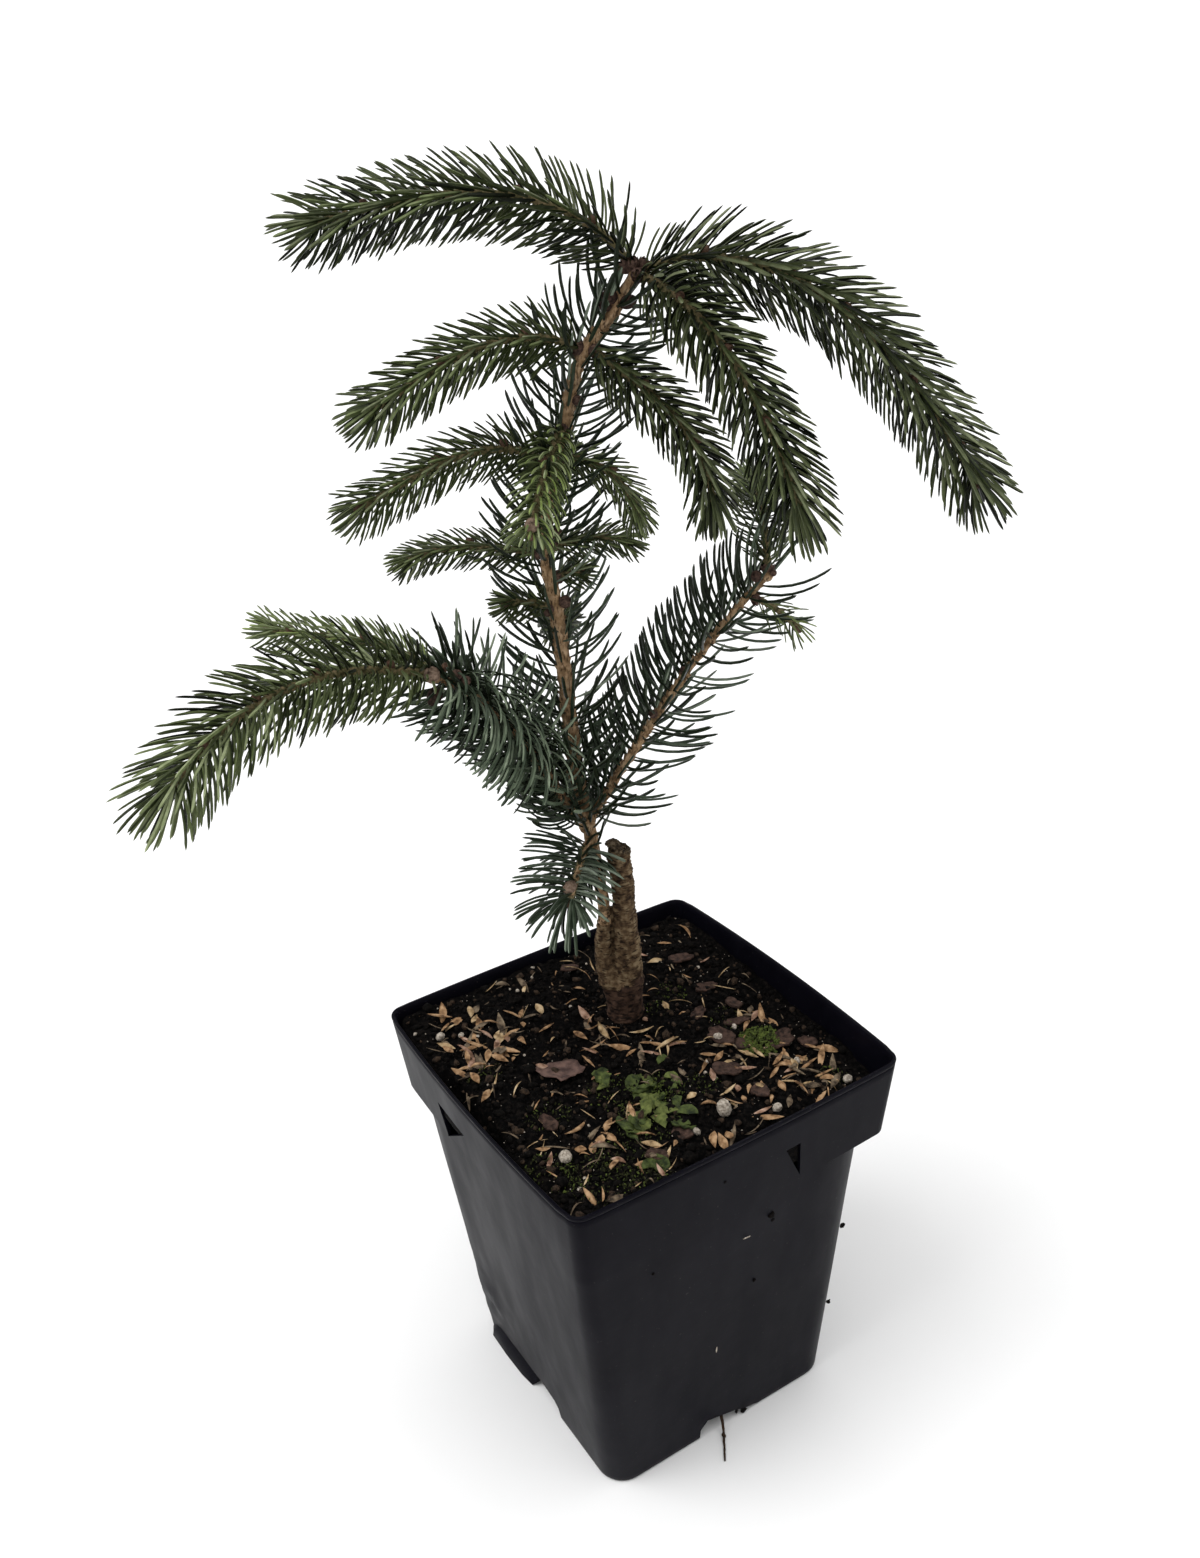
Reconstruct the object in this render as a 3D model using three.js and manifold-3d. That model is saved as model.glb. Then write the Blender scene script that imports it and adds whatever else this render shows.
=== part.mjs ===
// Potted weeping white spruce: a young grafted tree in a square nursery pot.
// Millimetres, +Z up. The origin is the centre of the pot's flat underside, and the
// pot's four sides face along X and Y. A heading is in degrees from +X towards +Y, a
// pitch is in degrees above level.

import * as THREE from 'three';
import { mergeVertices } from 'three/addons/utils/BufferGeometryUtils.js';
import Module from 'manifold-3d';

const wasm = await Module();
wasm.setup();

// Gap kept between pieces that meet
const CLEAR = 0.3;

// Pot: tapered square walls, a straight band below the rim, and two opposite corners
// (+X+Y and -X-Y) stepped in under the band so that pots nest
const POT_HEIGHT = 126;
const RIM_SIDE = 110;
const BASE_SIDE = 82;
const WALL = 1.2;
const FLOOR = 2;
const LIP_HEIGHT = 1.6;
const LIP_PROUD = 0.8;
const BAND_FOOT = 100.2;
const BAND_FOOT_SIDE = 105.3;
const STEP_RISE = 0.8;
const RIM_CORNER = 4.6;
const BASE_CORNER = 8.3;
const STEPPED_CORNER = 21;
const BOW_X = 0.9;
const BOW_Y = 2.2;
const CORNER_STEPS = 4;
const SIDE_STEPS = 4;

// Slots in the band beside the stepped corners, and drain notches in the walls' feet
const SLOT_TOP = 112.5;
const SLOT_FOOT = 100.8;
const SLOT_EDGE = 19.5;
const SLOT_WIDTH_X_FACE = 5;
const SLOT_WIDTH_Y_FACE = 12;
const DRAIN_WIDTH = 20;
const DRAIN_HEIGHT = 5;
const DRAIN_DEPTH = 9;

// Soil: its height at the pot's middle, its fall for each millimetre along X and Y, and
// its rise round the trunk
const SOIL_TOP = 119.3;
const SOIL_FALL_X = 0.053;
const SOIL_FALL_Y = 0.029;
const SOIL_MOUND = 0.8;

// Trunk: where it leaves the soil, and the heading in which it sways
const FOOT_X = -16.5;
const FOOT_Y = 8.1;
const SWAY_HEADING = 59;

// Height, sway and radius along the grafted stem, from the graft to the top
const STEM_STATIONS = [
  [123.6, -2.0, 3.4],
  [141.3, -5.8, 3],
  [159, -5.1, 1.8],
  [179.6, -7.2, 1.9],
  [201.2, -10.4, 2.3],
  [232.7, -11.8, 2],
  [252.3, -12.8, 1.9],
  [270, -14.6, 1.8],
  [284.8, -12.5, 1.7],
  [300.5, -7.7, 1.7],
  [316.2, -3.1, 1.6],
  [330, 7.3, 1.6],
  [336.8, 12.2, 1.6],
];

// The rootstock carries the graft and was cut off short above it
const ROOTSTOCK_STATIONS = [
  [116.8, -0.7, 6.4],
  [123.6, -0.4, 5.4],
  [134.4, 0.6, 4.7],
  [154.1, 0.8, 3.6],
  [183.6, 0.0, 3.1],
];
const STUB_JOIN = 150.2;
const STUB_TOP = 179.6;
const STUB_CUT_SLOPE = 15;

// Swellings where shoots leave the stem
const CROWN_KNOB_RADIUS = 2.9;
const COLLAR_HEIGHT = 186.5;
const COLLAR_KNOB_RADIUS = 3.2;

// Each limb is an arc in one upright plane: it leaves its parent at a pitch of `rise`,
// ends at `fall`, and `bow` bends the middle of it up or down
const BOUGHS = {
  right_bough: { height: 187.5, heading: 54, rise: 58, fall: 46, bow: 4, length: 89.4, knob: 2.2 },
  left_bough: { height: 187.5, heading: -91, rise: 55, fall: 31, bow: 16, length: 71.7, knob: 3.1 },
};
const BOUGH_THICK = 1.65;
const BOUGH_THIN = 1.3;

// Needle habit: spacing is millimetres of twig for each needle, splay is the angle from
// the twig, end_splay that angle at the twig's tip, and lift turns needles up or down
const NEW_GROWTH = { spacing: 1.75, splay: 52, end_splay: 22, lift: -0.3, root: 0.7 };
const OLD_GROWTH = { spacing: 2.0, splay: 58, end_splay: 45, lift: 0.12, root: 0.8 };
const HANGING = { spacing: 1.75, splay: 84, end_splay: 60, lift: -0.35, root: 0.8 };
const TUFT = { spacing: 0.75, splay: 66, end_splay: 25, lift: 0, root: 0.7 };

// This year's shoots, on the stem (by height) or on a bough (by how far along it is)
const SHOOTS = {
  top_left_shoot: { height: 336.8, heading: -131, rise: 59, fall: -11, bow: -20, length: 85.5, needle: 13.3 },
  top_right_shoot: { height: 336.8, heading: 44, rise: 24, fall: -56, bow: -22, length: 105.1, needle: 14.2 },
  top_front_shoot: { height: 336.8, heading: 4, rise: -8, fall: -64, bow: -5, length: 76, needle: 13.3 },
  upper_right_shoot: { height: 320.6, heading: 24, rise: -32, fall: -88, bow: 21, length: 51.1, needle: 10.8 },
  upper_left_shoot: { height: 319.1, heading: -106, rise: 36, fall: -26, bow: -20, length: 57, needle: 10.8 },
  middle_front_shoot: { height: 301.5, heading: -54, rise: -20, fall: -60, bow: 0, length: 32, needle: 8.6 },
  middle_right_shoot: { height: 293.1, heading: 49, rise: 9, fall: -78, bow: -2, length: 27.5, needle: 7.2 },
  middle_left_shoot: { height: 290.2, heading: -91, rise: 51, fall: -16, bow: -24, length: 56, needle: 9.8 },
  back_upper_shoot: { height: 295.6, heading: 154, rise: 0, fall: -60, bow: 0, length: 33.4, needle: 8.8 },
  lower_right_shoot: { height: 270.5, heading: 79, rise: -2, fall: -27, bow: 13, length: 23.5, needle: 6.4 },
  lower_left_shoot: { height: 268.5, heading: -131, rise: 9, fall: -25, bow: 8, length: 38.3, needle: 7 },
  back_lower_shoot: { height: 245.5, heading: 150, rise: 20, fall: -50, bow: 0, length: 29.5, needle: 8.8 },
  right_tuft: { height: 261.2, heading: 69, rise: 20, fall: 0, bow: 0, length: 8, needle: 5.8 },
  left_tuft: { height: 252.3, heading: -106, rise: 40, fall: 0, bow: 0, length: 13.5, needle: 6.6 },
  bough_right_shoot: {
    bough: 'right_bough', along: 1, heading: 149, rise: 75, fall: -20, bow: 0, length: 41.3, needle: 8.8,
  },
  bough_right_tuft: {
    bough: 'right_bough', along: 0.92, heading: 49, rise: -20, fall: -50, bow: 0, length: 15, needle: 6.5,
  },
  bough_left_shoot: {
    bough: 'left_bough', along: 1, heading: -74, rise: 28, fall: -40, bow: 9, length: 83.5, needle: 15.2,
  },
  bough_left_side_shoot: {
    bough: 'left_bough', along: 1, heading: -134, rise: 50, fall: 12, bow: -23, length: 45.2, needle: 7.9,
  },
  collar_tuft: {
    height: 183.6, heading: -55, rise: -25, fall: -50, bow: 0, length: 20, needle: 16.7, habit: TUFT,
  },
};
const SHOOT_THICK = 1.3;
const SHOOT_THIN = 1.0;

// Older needles stand on the stem and the boughs themselves, on sleeves round the wood
const SLEEVES = {
  stem_needles_low: { limb: 'stem', from: 191.4, to: 224.8, needle: 18.2, habit: OLD_GROWTH },
  stem_needles_middle: { limb: 'stem', from: 226.8, to: 264.1, needle: 18.7, habit: OLD_GROWTH },
  stem_needles_high: { limb: 'stem', from: 266.1, to: 299.5, needle: 18.7, habit: OLD_GROWTH },
  stem_needles_top: { limb: 'stem', from: 301.5, to: 331.9, needle: 18.7, habit: OLD_GROWTH },
  right_bough_needles: { limb: 'right_bough', from: 0.13, to: 0.97, needle: 18.7, habit: OLD_GROWTH },
  left_bough_needles: { limb: 'left_bough', from: 0.14, to: 0.96, needle: 17.7, habit: HANGING },
};
const SLEEVE_WALL = 0.9;

const SEED = 20;
const GOLDEN_ANGLE = 137.508;
const UP = new THREE.Vector3(0, 0, 1);
const radians = THREE.MathUtils.degToRad;

const COLORS = {
  pot: [0x1b1c1f, 0.5],
  soil: [0x17120f, 0.95],
  bark: [0x6a5844, 0.9],
  stem: [0x7d6446, 0.85],
  new_needles: [0x3f5a2c, 0.6],
  old_needles: [0x35503f, 0.55],
};

function material(name) {
  const [color, roughness] = COLORS[name];
  return new THREE.MeshStandardMaterial({ color, roughness, metalness: 0 });
}

// Solids: closed meshes joined and cut
function toSolid(geometry) {
  const bare = geometry.index ? geometry.toNonIndexed() : geometry.clone();
  bare.deleteAttribute('normal');
  bare.deleteAttribute('uv');
  const merged = mergeVertices(bare, 1e-4);
  return new wasm.Manifold(new wasm.Mesh({
    numProp: 3,
    vertProperties: new Float32Array(merged.attributes.position.array),
    triVerts: new Uint32Array(merged.index.array),
  }));
}

function toGeometry(solid) {
  const mesh = solid.getMesh();
  const geometry = new THREE.BufferGeometry();
  geometry.setAttribute('position', new THREE.BufferAttribute(new Float32Array(mesh.vertProperties), 3));
  geometry.setIndex(new THREE.BufferAttribute(new Uint32Array(mesh.triVerts), 1));
  geometry.computeVertexNormals();
  return geometry;
}

// The largest piece of a solid, without loose scraps
function largestPiece(solid) {
  const pieces = solid.decompose();
  pieces.sort((a, b) => b.volume() - a.volume());
  return pieces[0];
}

function box(x0, y0, z0, x1, y1, z1) {
  const geometry = new THREE.BoxGeometry(x1 - x0, y1 - y0, z1 - z0);
  geometry.translate((x0 + x1) / 2, (y0 + y1) / 2, (z0 + z1) / 2);
  return toSolid(geometry);
}

// A closed skin over a stack of rings that all have the same number of points; the
// rings run anticlockwise seen from beyond the last one
function loft(rings) {
  const count = rings[0].length;
  const positions = rings.flat().flatMap((p) => [p.x, p.y, p.z]);
  const index = [];
  for (let r = 0; r + 1 < rings.length; r += 1) {
    for (let k = 0; k < count; k += 1) {
      const a = r * count + k;
      const b = r * count + (k + 1) % count;
      index.push(a, b, b + count, a, b + count, a + count);
    }
  }
  for (const [ring, flip] of [[0, true], [rings.length - 1, false]]) {
    const centre = positions.length / 3;
    const middle = new THREE.Vector3();
    rings[ring].forEach((p) => middle.addScaledVector(p, 1 / count));
    positions.push(middle.x, middle.y, middle.z);
    for (let k = 0; k < count; k += 1) {
      const a = ring * count + k;
      const b = ring * count + (k + 1) % count;
      index.push(centre, flip ? b : a, flip ? a : b);
    }
  }
  const geometry = new THREE.BufferGeometry();
  geometry.setAttribute('position', new THREE.Float32BufferAttribute(positions, 3));
  geometry.setIndex(index);
  return geometry;
}

// One level of the pot: a square with rounded corners and sides that bow outwards
function potRing({ z, side, corner, stepped, bow }, inset = 0) {
  const half = side / 2 - inset;
  const points = [];
  for (let quarter = 0; quarter < 4; quarter += 1) {
    const turn = new THREE.Matrix4().makeRotationZ(quarter * Math.PI / 2);
    const swell = bow * (quarter % 2 === 0 ? BOW_X : BOW_Y);
    const before = Math.max((quarter % 2 === 0 ? corner : stepped) - inset, 0.6);
    const after = Math.max((quarter % 2 === 0 ? stepped : corner) - inset, 0.6);
    for (let k = 1; k < SIDE_STEPS; k += 1) {
      const along = THREE.MathUtils.lerp(before - half, half - after, k / SIDE_STEPS);
      const out = half + swell * (1 - (along / half) ** 2);
      points.push(new THREE.Vector3(out, along, z).applyMatrix4(turn));
    }
    for (let k = 0; k <= CORNER_STEPS; k += 1) {
      const angle = (k / CORNER_STEPS) * Math.PI / 2;
      const x = half - after * (1 - Math.cos(angle));
      const y = half - after * (1 - Math.sin(angle));
      points.push(new THREE.Vector3(x, y, z).applyMatrix4(turn));
    }
  }
  return points;
}

const bandSide = (z) => THREE.MathUtils.mapLinear(z, BAND_FOOT, POT_HEIGHT, BAND_FOOT_SIDE, RIM_SIDE);
const POT_LEVELS = {
  ground: { z: 0, side: BASE_SIDE, corner: BASE_CORNER, stepped: BASE_CORNER, bow: 0 },
  shoulder: {
    z: BAND_FOOT - STEP_RISE, side: BAND_FOOT_SIDE, corner: RIM_CORNER, stepped: STEPPED_CORNER, bow: 0.35,
  },
  bandFoot: { z: BAND_FOOT, side: BAND_FOOT_SIDE, corner: RIM_CORNER, stepped: RIM_CORNER, bow: 0.35 },
  underLip: {
    z: POT_HEIGHT - LIP_HEIGHT, side: bandSide(POT_HEIGHT - LIP_HEIGHT) - LIP_PROUD,
    corner: RIM_CORNER, stepped: RIM_CORNER, bow: 1,
  },
  lip: {
    z: POT_HEIGHT - LIP_HEIGHT + 0.4, side: RIM_SIDE, corner: RIM_CORNER, stepped: RIM_CORNER, bow: 1,
  },
  rim: { z: POT_HEIGHT, side: RIM_SIDE, corner: RIM_CORNER, stepped: RIM_CORNER, bow: 1 },
};

// The space inside the walls, shrunk by `inset` from the outer faces, up to the last of
// `tops`; its ledge lies `raise` above the step outside
function potSpace(inset, floor, tops, raise) {
  const { ground, shoulder, bandFoot, rim } = POT_LEVELS;
  const t = floor / shoulder.z;
  const mix = (key) => THREE.MathUtils.lerp(ground[key], shoulder[key], t);
  const bottom = { z: floor, side: mix('side'), corner: mix('corner'), stepped: mix('stepped'), bow: 0 };
  const mouth = (top) => {
    const u = (top - bandFoot.z) / (rim.z - bandFoot.z);
    const side = THREE.MathUtils.lerp(bandFoot.side, rim.side, u);
    const bow = THREE.MathUtils.lerp(bandFoot.bow, rim.bow, u);
    return { z: top, side, corner: RIM_CORNER, stepped: RIM_CORNER, bow };
  };
  return [
    potRing(bottom, inset),
    potRing({ ...shoulder, z: shoulder.z + raise }, inset),
    potRing({ ...bandFoot, z: bandFoot.z + raise }, inset),
    ...tops.map((top) => potRing(mouth(top), inset)),
  ];
}

// A right triangle cut through one band wall; its upright edge is nearest the corner
function bandSlot(width, heading) {
  const shape = new THREE.Shape();
  shape.moveTo(SLOT_EDGE, SLOT_FOOT);
  shape.lineTo(SLOT_EDGE, SLOT_TOP);
  shape.lineTo(SLOT_EDGE - width, SLOT_TOP);
  const geometry = new THREE.ExtrudeGeometry(shape, { depth: RIM_SIDE, bevelEnabled: false });
  geometry.rotateX(Math.PI / 2);
  geometry.translate(0, RIM_SIDE + BASE_SIDE / 2, 0);
  if (heading % 180 === 0) {
    geometry.scale(-1, 1, 1);
    flipFaces(geometry);
  }
  geometry.rotateZ(radians(heading - 90));
  return toSolid(geometry);
}

function flipFaces(geometry) {
  const position = geometry.attributes.position;
  for (let k = 0; k < position.count; k += 3) {
    const a = new THREE.Vector3().fromBufferAttribute(position, k + 1);
    const b = new THREE.Vector3().fromBufferAttribute(position, k + 2);
    position.setXYZ(k + 1, b.x, b.y, b.z);
    position.setXYZ(k + 2, a.x, a.y, a.z);
  }
}

function makePot() {
  const outside = Object.values(POT_LEVELS).map((level) => potRing(level));
  let solid = toSolid(loft(outside));
  solid = solid.subtract(toSolid(loft(potSpace(WALL, FLOOR, [SOIL_TOP, POT_HEIGHT + 1], WALL))));
  for (const heading of [0, 90, 180, 270]) {
    const width = heading % 180 === 0 ? SLOT_WIDTH_X_FACE : SLOT_WIDTH_Y_FACE;
    solid = solid.subtract(bandSlot(width, heading));
    const notch = box(
      BASE_SIDE / 2 - DRAIN_DEPTH, -DRAIN_WIDTH / 2, -1,
      BASE_SIDE / 2 + DRAIN_DEPTH, DRAIN_WIDTH / 2, DRAIN_HEIGHT,
    );
    solid = solid.subtract(notch.rotate([0, 0, heading]));
  }
  return solid;
}

const soilLevel = (p) => SOIL_TOP - SOIL_FALL_X * p.x - SOIL_FALL_Y * p.y;
const foot = new THREE.Vector3(FOOT_X, FOOT_Y, 0);
foot.z = soilLevel(foot) + SOIL_MOUND;

// The soil fills the pot to a slanting surface, with a low mound round the trunk
function makeSoil() {
  const rings = potSpace(WALL + CLEAR, FLOOR + CLEAR, [SOIL_TOP], WALL + 2 * CLEAR);
  const level = rings.pop();
  const band = rings[rings.length - 1];
  const edge = level.map((p, k) => {
    const share = (soilLevel(p) - band[k].z) / (SOIL_TOP - band[k].z);
    return band[k].clone().lerp(p, share);
  });
  const halfway = edge.map((p) => p.clone().lerp(foot, 0.45));
  const mound = edge.map((p) => p.clone().lerp(foot, 0.8).setZ(foot.z));
  return toSolid(loft([...rings, edge, halfway, mound]));
}

// A path that keeps its points, the radius at each and a ring frame at each
function makePath(points, radii) {
  const frames = [];
  let side = new THREE.Vector3(1, 0, 0);
  for (let k = 0; k < points.length; k += 1) {
    const ahead = points[Math.min(k + 1, points.length - 1)];
    const behind = points[Math.max(k - 1, 0)];
    const tangent = ahead.clone().sub(behind).normalize();
    side = side.clone().addScaledVector(tangent, -side.dot(tangent)).normalize();
    frames.push({ tangent, side, other: tangent.clone().cross(side) });
  }
  return { points, radii, frames };
}

// The stretch of a path between two shares of its length in points
function stretch(path, from, to) {
  const last = path.points.length - 1;
  const inner = path.points.map((_, k) => k / last).filter((share) => share > from && share < to);
  const shares = [from, ...inner, to];
  const nearest = (share) => Math.round(share * last);
  return {
    points: shares.map((share) => pointAtShare(path, share)),
    radii: shares.map((share) => path.radii[nearest(share)]),
    frames: shares.map((share) => path.frames[nearest(share)]),
  };
}

// A closed tube round a path, `grow` wider than the wood
function tube(path, sides, grow = 0) {
  const widen = 1 / Math.cos(Math.PI / sides);
  const rings = path.points.map((point, k) => {
    const radius = path.radii[k] + (grow > 0 ? grow * widen : 0);
    const { side, other } = path.frames[k];
    return Array.from({ length: sides }, (_, s) => {
      const angle = (s / sides) * 2 * Math.PI;
      return point.clone()
        .addScaledVector(side, radius * Math.cos(angle))
        .addScaledVector(other, radius * Math.sin(angle));
    });
  });
  return toSolid(loft(rings));
}

function knob(centre, radius) {
  const geometry = new THREE.IcosahedronGeometry(radius, 1);
  geometry.translate(centre.x, centre.y, centre.z);
  return toSolid(geometry);
}

// The wood that stands in the soil and its sway in one upright plane
const swayDirection = new THREE.Vector3(1, 0, 0).applyAxisAngle(UP, radians(SWAY_HEADING));
const STATION_STEPS = 2;

function stationPath(stations) {
  const at = ([z, sway]) => new THREE.Vector3(FOOT_X, FOOT_Y, z).addScaledVector(swayDirection, sway);
  const curve = new THREE.CatmullRomCurve3(stations.map(at), false, 'centripetal');
  const steps = (stations.length - 1) * STATION_STEPS;
  const radiusAt = (t) => {
    const place = Math.min(t * (stations.length - 1), stations.length - 1 - 1e-9);
    const k = Math.floor(place);
    return THREE.MathUtils.lerp(stations[k][2], stations[k + 1][2], place - k);
  };
  const shares = Array.from({ length: steps + 1 }, (_, k) => k / steps);
  return makePath(shares.map((t) => curve.getPoint(t)), shares.map(radiusAt));
}

// Share of the stem's path at a height
function shareAtHeight(path, z) {
  const above = path.points.findIndex((p) => p.z >= z);
  const low = path.points[above - 1].z;
  const high = path.points[above].z;
  return (above - 1 + (z - low) / (high - low)) / (path.points.length - 1);
}

function pointAtShare(path, share) {
  const place = share * (path.points.length - 1);
  const k = Math.min(Math.floor(place), path.points.length - 2);
  return path.points[k].clone().lerp(path.points[k + 1], place - k);
}

// A limb from `start` that bends in one upright plane
const LIMB_STEP = 5;
function arcPath(start, { heading, rise, fall, bow, length }, thick, thin) {
  const steps = Math.max(3, Math.round(length / LIMB_STEP));
  const points = [start.clone()];
  for (let k = 0; k < steps; k += 1) {
    const s = (k + 0.5) / steps;
    const pitch = radians(THREE.MathUtils.lerp(rise, fall, s) + bow * 4 * s * (1 - s));
    const flat = Math.cos(pitch);
    const step = new THREE.Vector3(
      flat * Math.cos(radians(heading)), flat * Math.sin(radians(heading)), Math.sin(pitch),
    );
    points.push(points[k].clone().addScaledVector(step, length / steps));
  }
  return makePath(points, points.map((_, k) => THREE.MathUtils.lerp(thick, thin, k / steps)));
}

// Everything that a needle has to stay clear of: rods with an owner
const rods = [];
const ROD_GAP = 0.15;
const NEEDLE_MEAN = 0.6;

function addRods(owner, path, grow) {
  for (let k = 0; k + 1 < path.points.length; k += 1) {
    const radius = Math.max(path.radii[k], path.radii[k + 1]) + grow;
    rods.push({ owner, a: path.points[k], b: path.points[k + 1], radius });
  }
}

// Shortest distance between two straight rods
function rodDistance(p1, q1, p2, q2) {
  const d1 = q1.clone().sub(p1);
  const d2 = q2.clone().sub(p2);
  const r = p1.clone().sub(p2);
  const a = d1.dot(d1);
  const e = d2.dot(d2);
  const b = d1.dot(d2);
  const c = d1.dot(r);
  const f = d2.dot(r);
  const bottom = a * e - b * b;
  let s = bottom > 1e-9 ? THREE.MathUtils.clamp((b * f - c * e) / bottom, 0, 1) : 0;
  let t = (b * s + f) / e;
  if (t < 0 || t > 1) {
    t = THREE.MathUtils.clamp(t, 0, 1);
    s = THREE.MathUtils.clamp((b * t - c) / a, 0, 1);
  }
  return p1.clone().addScaledVector(d1, s).distanceTo(p2.clone().addScaledVector(d2, t));
}

function isClear(own, from, tip, radius) {
  return rods.every((rod) => own.includes(rod.owner)
    || rodDistance(from, tip, rod.a, rod.b) > rod.radius + radius + ROD_GAP);
}

// Repeatable random numbers
let randomState = SEED;
function random() {
  randomState = (Math.imul(randomState, 1664525) + 1013904223) >>> 0;
  return randomState / 4294967296;
}

// Needles of one mass round a path on `limb`: a spiral of three-sided spikes rooted
// inside the twig, kept only where they stay clear of every other piece
function needles(owner, limb, path, length, habit) {
  const spikes = [];
  const total = path.points.reduce((sum, p, k) => sum + (k > 0 ? p.distanceTo(path.points[k - 1]) : 0), 0);
  const count = Math.round(total / habit.spacing);
  for (let n = 0; n < count; n += 1) {
    const share = (n + 0.5) / count;
    const place = share * (path.points.length - 1);
    const k = Math.min(Math.floor(place), path.points.length - 2);
    const { tangent, side, other } = path.frames[k];
    const angle = radians(n * GOLDEN_ANGLE + 30 * random());
    const end = THREE.MathUtils.smoothstep(share, 0.82, 1);
    const splay = radians(THREE.MathUtils.lerp(habit.splay, habit.end_splay, end) + 10 * (random() - 0.5));
    const direction = tangent.clone().multiplyScalar(Math.cos(splay))
      .addScaledVector(side, Math.sin(splay) * Math.cos(angle))
      .addScaledVector(other, Math.sin(splay) * Math.sin(angle))
      .addScaledVector(UP, habit.lift)
      .normalize();
    const reach = length * (0.88 + 0.24 * random()) * (share < 0.06 ? 0.75 : 1);
    const root = pointAtShare(path, share);
    const tip = root.clone().addScaledVector(direction, reach + path.radii[k]);
    const skin = root.clone().addScaledVector(direction, path.radii[k]);
    if (isClear([owner, limb], skin, tip, habit.root * NEEDLE_MEAN)) {
      const spike = new THREE.ConeGeometry(habit.root, reach + path.radii[k], 3, 1);
      spike.rotateX(Math.PI / 2);
      spike.translate(0, 0, (reach + path.radii[k]) / 2);
      spike.applyQuaternion(new THREE.Quaternion().setFromUnitVectors(UP, direction));
      spike.translate(root.x, root.y, root.z);
      spikes.push(toSolid(spike));
      rods.push({ owner, a: skin, b: tip, radius: habit.root * NEEDLE_MEAN });
    }
  }
  return spikes;
}

function joined(solids) {
  return solids.reduce((all, solid) => all.add(solid));
}

// Paths of the wood
const stemPath = stationPath(STEM_STATIONS);
const rootstockPath = stationPath(ROOTSTOCK_STATIONS);
const crownPoint = stemPath.points[stemPath.points.length - 1];
const collarPoint = pointAtShare(stemPath, shareAtHeight(stemPath, COLLAR_HEIGHT));
const paths = { stem: stemPath };
for (const [name, bough] of Object.entries(BOUGHS)) {
  const start = pointAtShare(stemPath, shareAtHeight(stemPath, bough.height));
  paths[name] = arcPath(start, bough, BOUGH_THICK, BOUGH_THIN);
}
for (const [name, shoot] of Object.entries(SHOOTS)) {
  const onStem = shoot.bough === undefined;
  const parent = onStem ? stemPath : paths[shoot.bough];
  const share = onStem ? shareAtHeight(stemPath, shoot.height) : shoot.along;
  paths[name] = arcPath(pointAtShare(parent, share), shoot, SHOOT_THICK, SHOOT_THIN);
}
addRods('stem', stemPath, SLEEVE_WALL);
addRods('cut_stub', rootstockPath, CLEAR);
Object.keys(BOUGHS).forEach((name) => addRods(name, paths[name], SLEEVE_WALL));
Object.keys(SHOOTS).forEach((name) => addRods(name, paths[name], 0));

const STEM_SIDES = 8;
const BOUGH_SIDES = 6;
const TWIG_SIDES = 4;

// The wood grown wider by the clear gap, to cut its neighbours
const stemRoom = joined([
  tube(stemPath, STEM_SIDES, CLEAR),
  knob(crownPoint, CROWN_KNOB_RADIUS + CLEAR),
  knob(collarPoint, COLLAR_KNOB_RADIUS + CLEAR),
]);
const room = { stem: stemRoom };
const lastPoint = (path) => path.points[path.points.length - 1];
for (const [name, bough] of Object.entries(BOUGHS)) {
  room[name] = tube(paths[name], BOUGH_SIDES, CLEAR).add(knob(lastPoint(paths[name]), bough.knob + CLEAR));
}
for (const name of Object.keys(SHOOTS)) {
  room[name] = tube(paths[name], TWIG_SIDES, CLEAR);
}

// Trunk: the rootstock's flared base, the graft and the stem, in one piece of wood
function makeTrunk() {
  const base = tube(rootstockPath, STEM_SIDES)
    .subtract(box(-RIM_SIDE, -RIM_SIDE, STUB_JOIN, RIM_SIDE, RIM_SIDE, POT_HEIGHT * 2));
  return joined([
    base,
    tube(stemPath, STEM_SIDES),
    knob(crownPoint, CROWN_KNOB_RADIUS),
    knob(collarPoint, COLLAR_KNOB_RADIUS),
  ]).subtract(box(-RIM_SIDE, -RIM_SIDE, 0, RIM_SIDE, RIM_SIDE, foot.z + CLEAR));
}

// The rootstock's sawn-off end, cut on a slope, behind the graft
function makeStub() {
  const slope = box(-30, -30, 0, 30, 30, 30).rotate([0, STUB_CUT_SLOPE, 0]).rotate([0, 0, SWAY_HEADING]);
  const top = pointAtShare(rootstockPath, shareAtHeight(rootstockPath, STUB_TOP));
  const solid = tube(rootstockPath, STEM_SIDES)
    .subtract(box(-RIM_SIDE, -RIM_SIDE, 0, RIM_SIDE, RIM_SIDE, STUB_JOIN + CLEAR))
    .subtract(slope.translate([top.x, top.y, top.z]))
    .subtract(stemRoom);
  return largestPiece(solid);
}

function makeBough(name) {
  const tip = knob(lastPoint(paths[name]), BOUGHS[name].knob);
  return largestPiece(tube(paths[name], BOUGH_SIDES).add(tip).subtract(stemRoom));
}

function makeShoot(name) {
  const shoot = SHOOTS[name];
  const spikes = needles(name, name, paths[name], shoot.needle, shoot.habit ?? NEW_GROWTH);
  const whole = joined([tube(paths[name], TWIG_SIDES), ...spikes]);
  return largestPiece(whole.subtract(room[shoot.bough ?? 'stem']));
}

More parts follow.
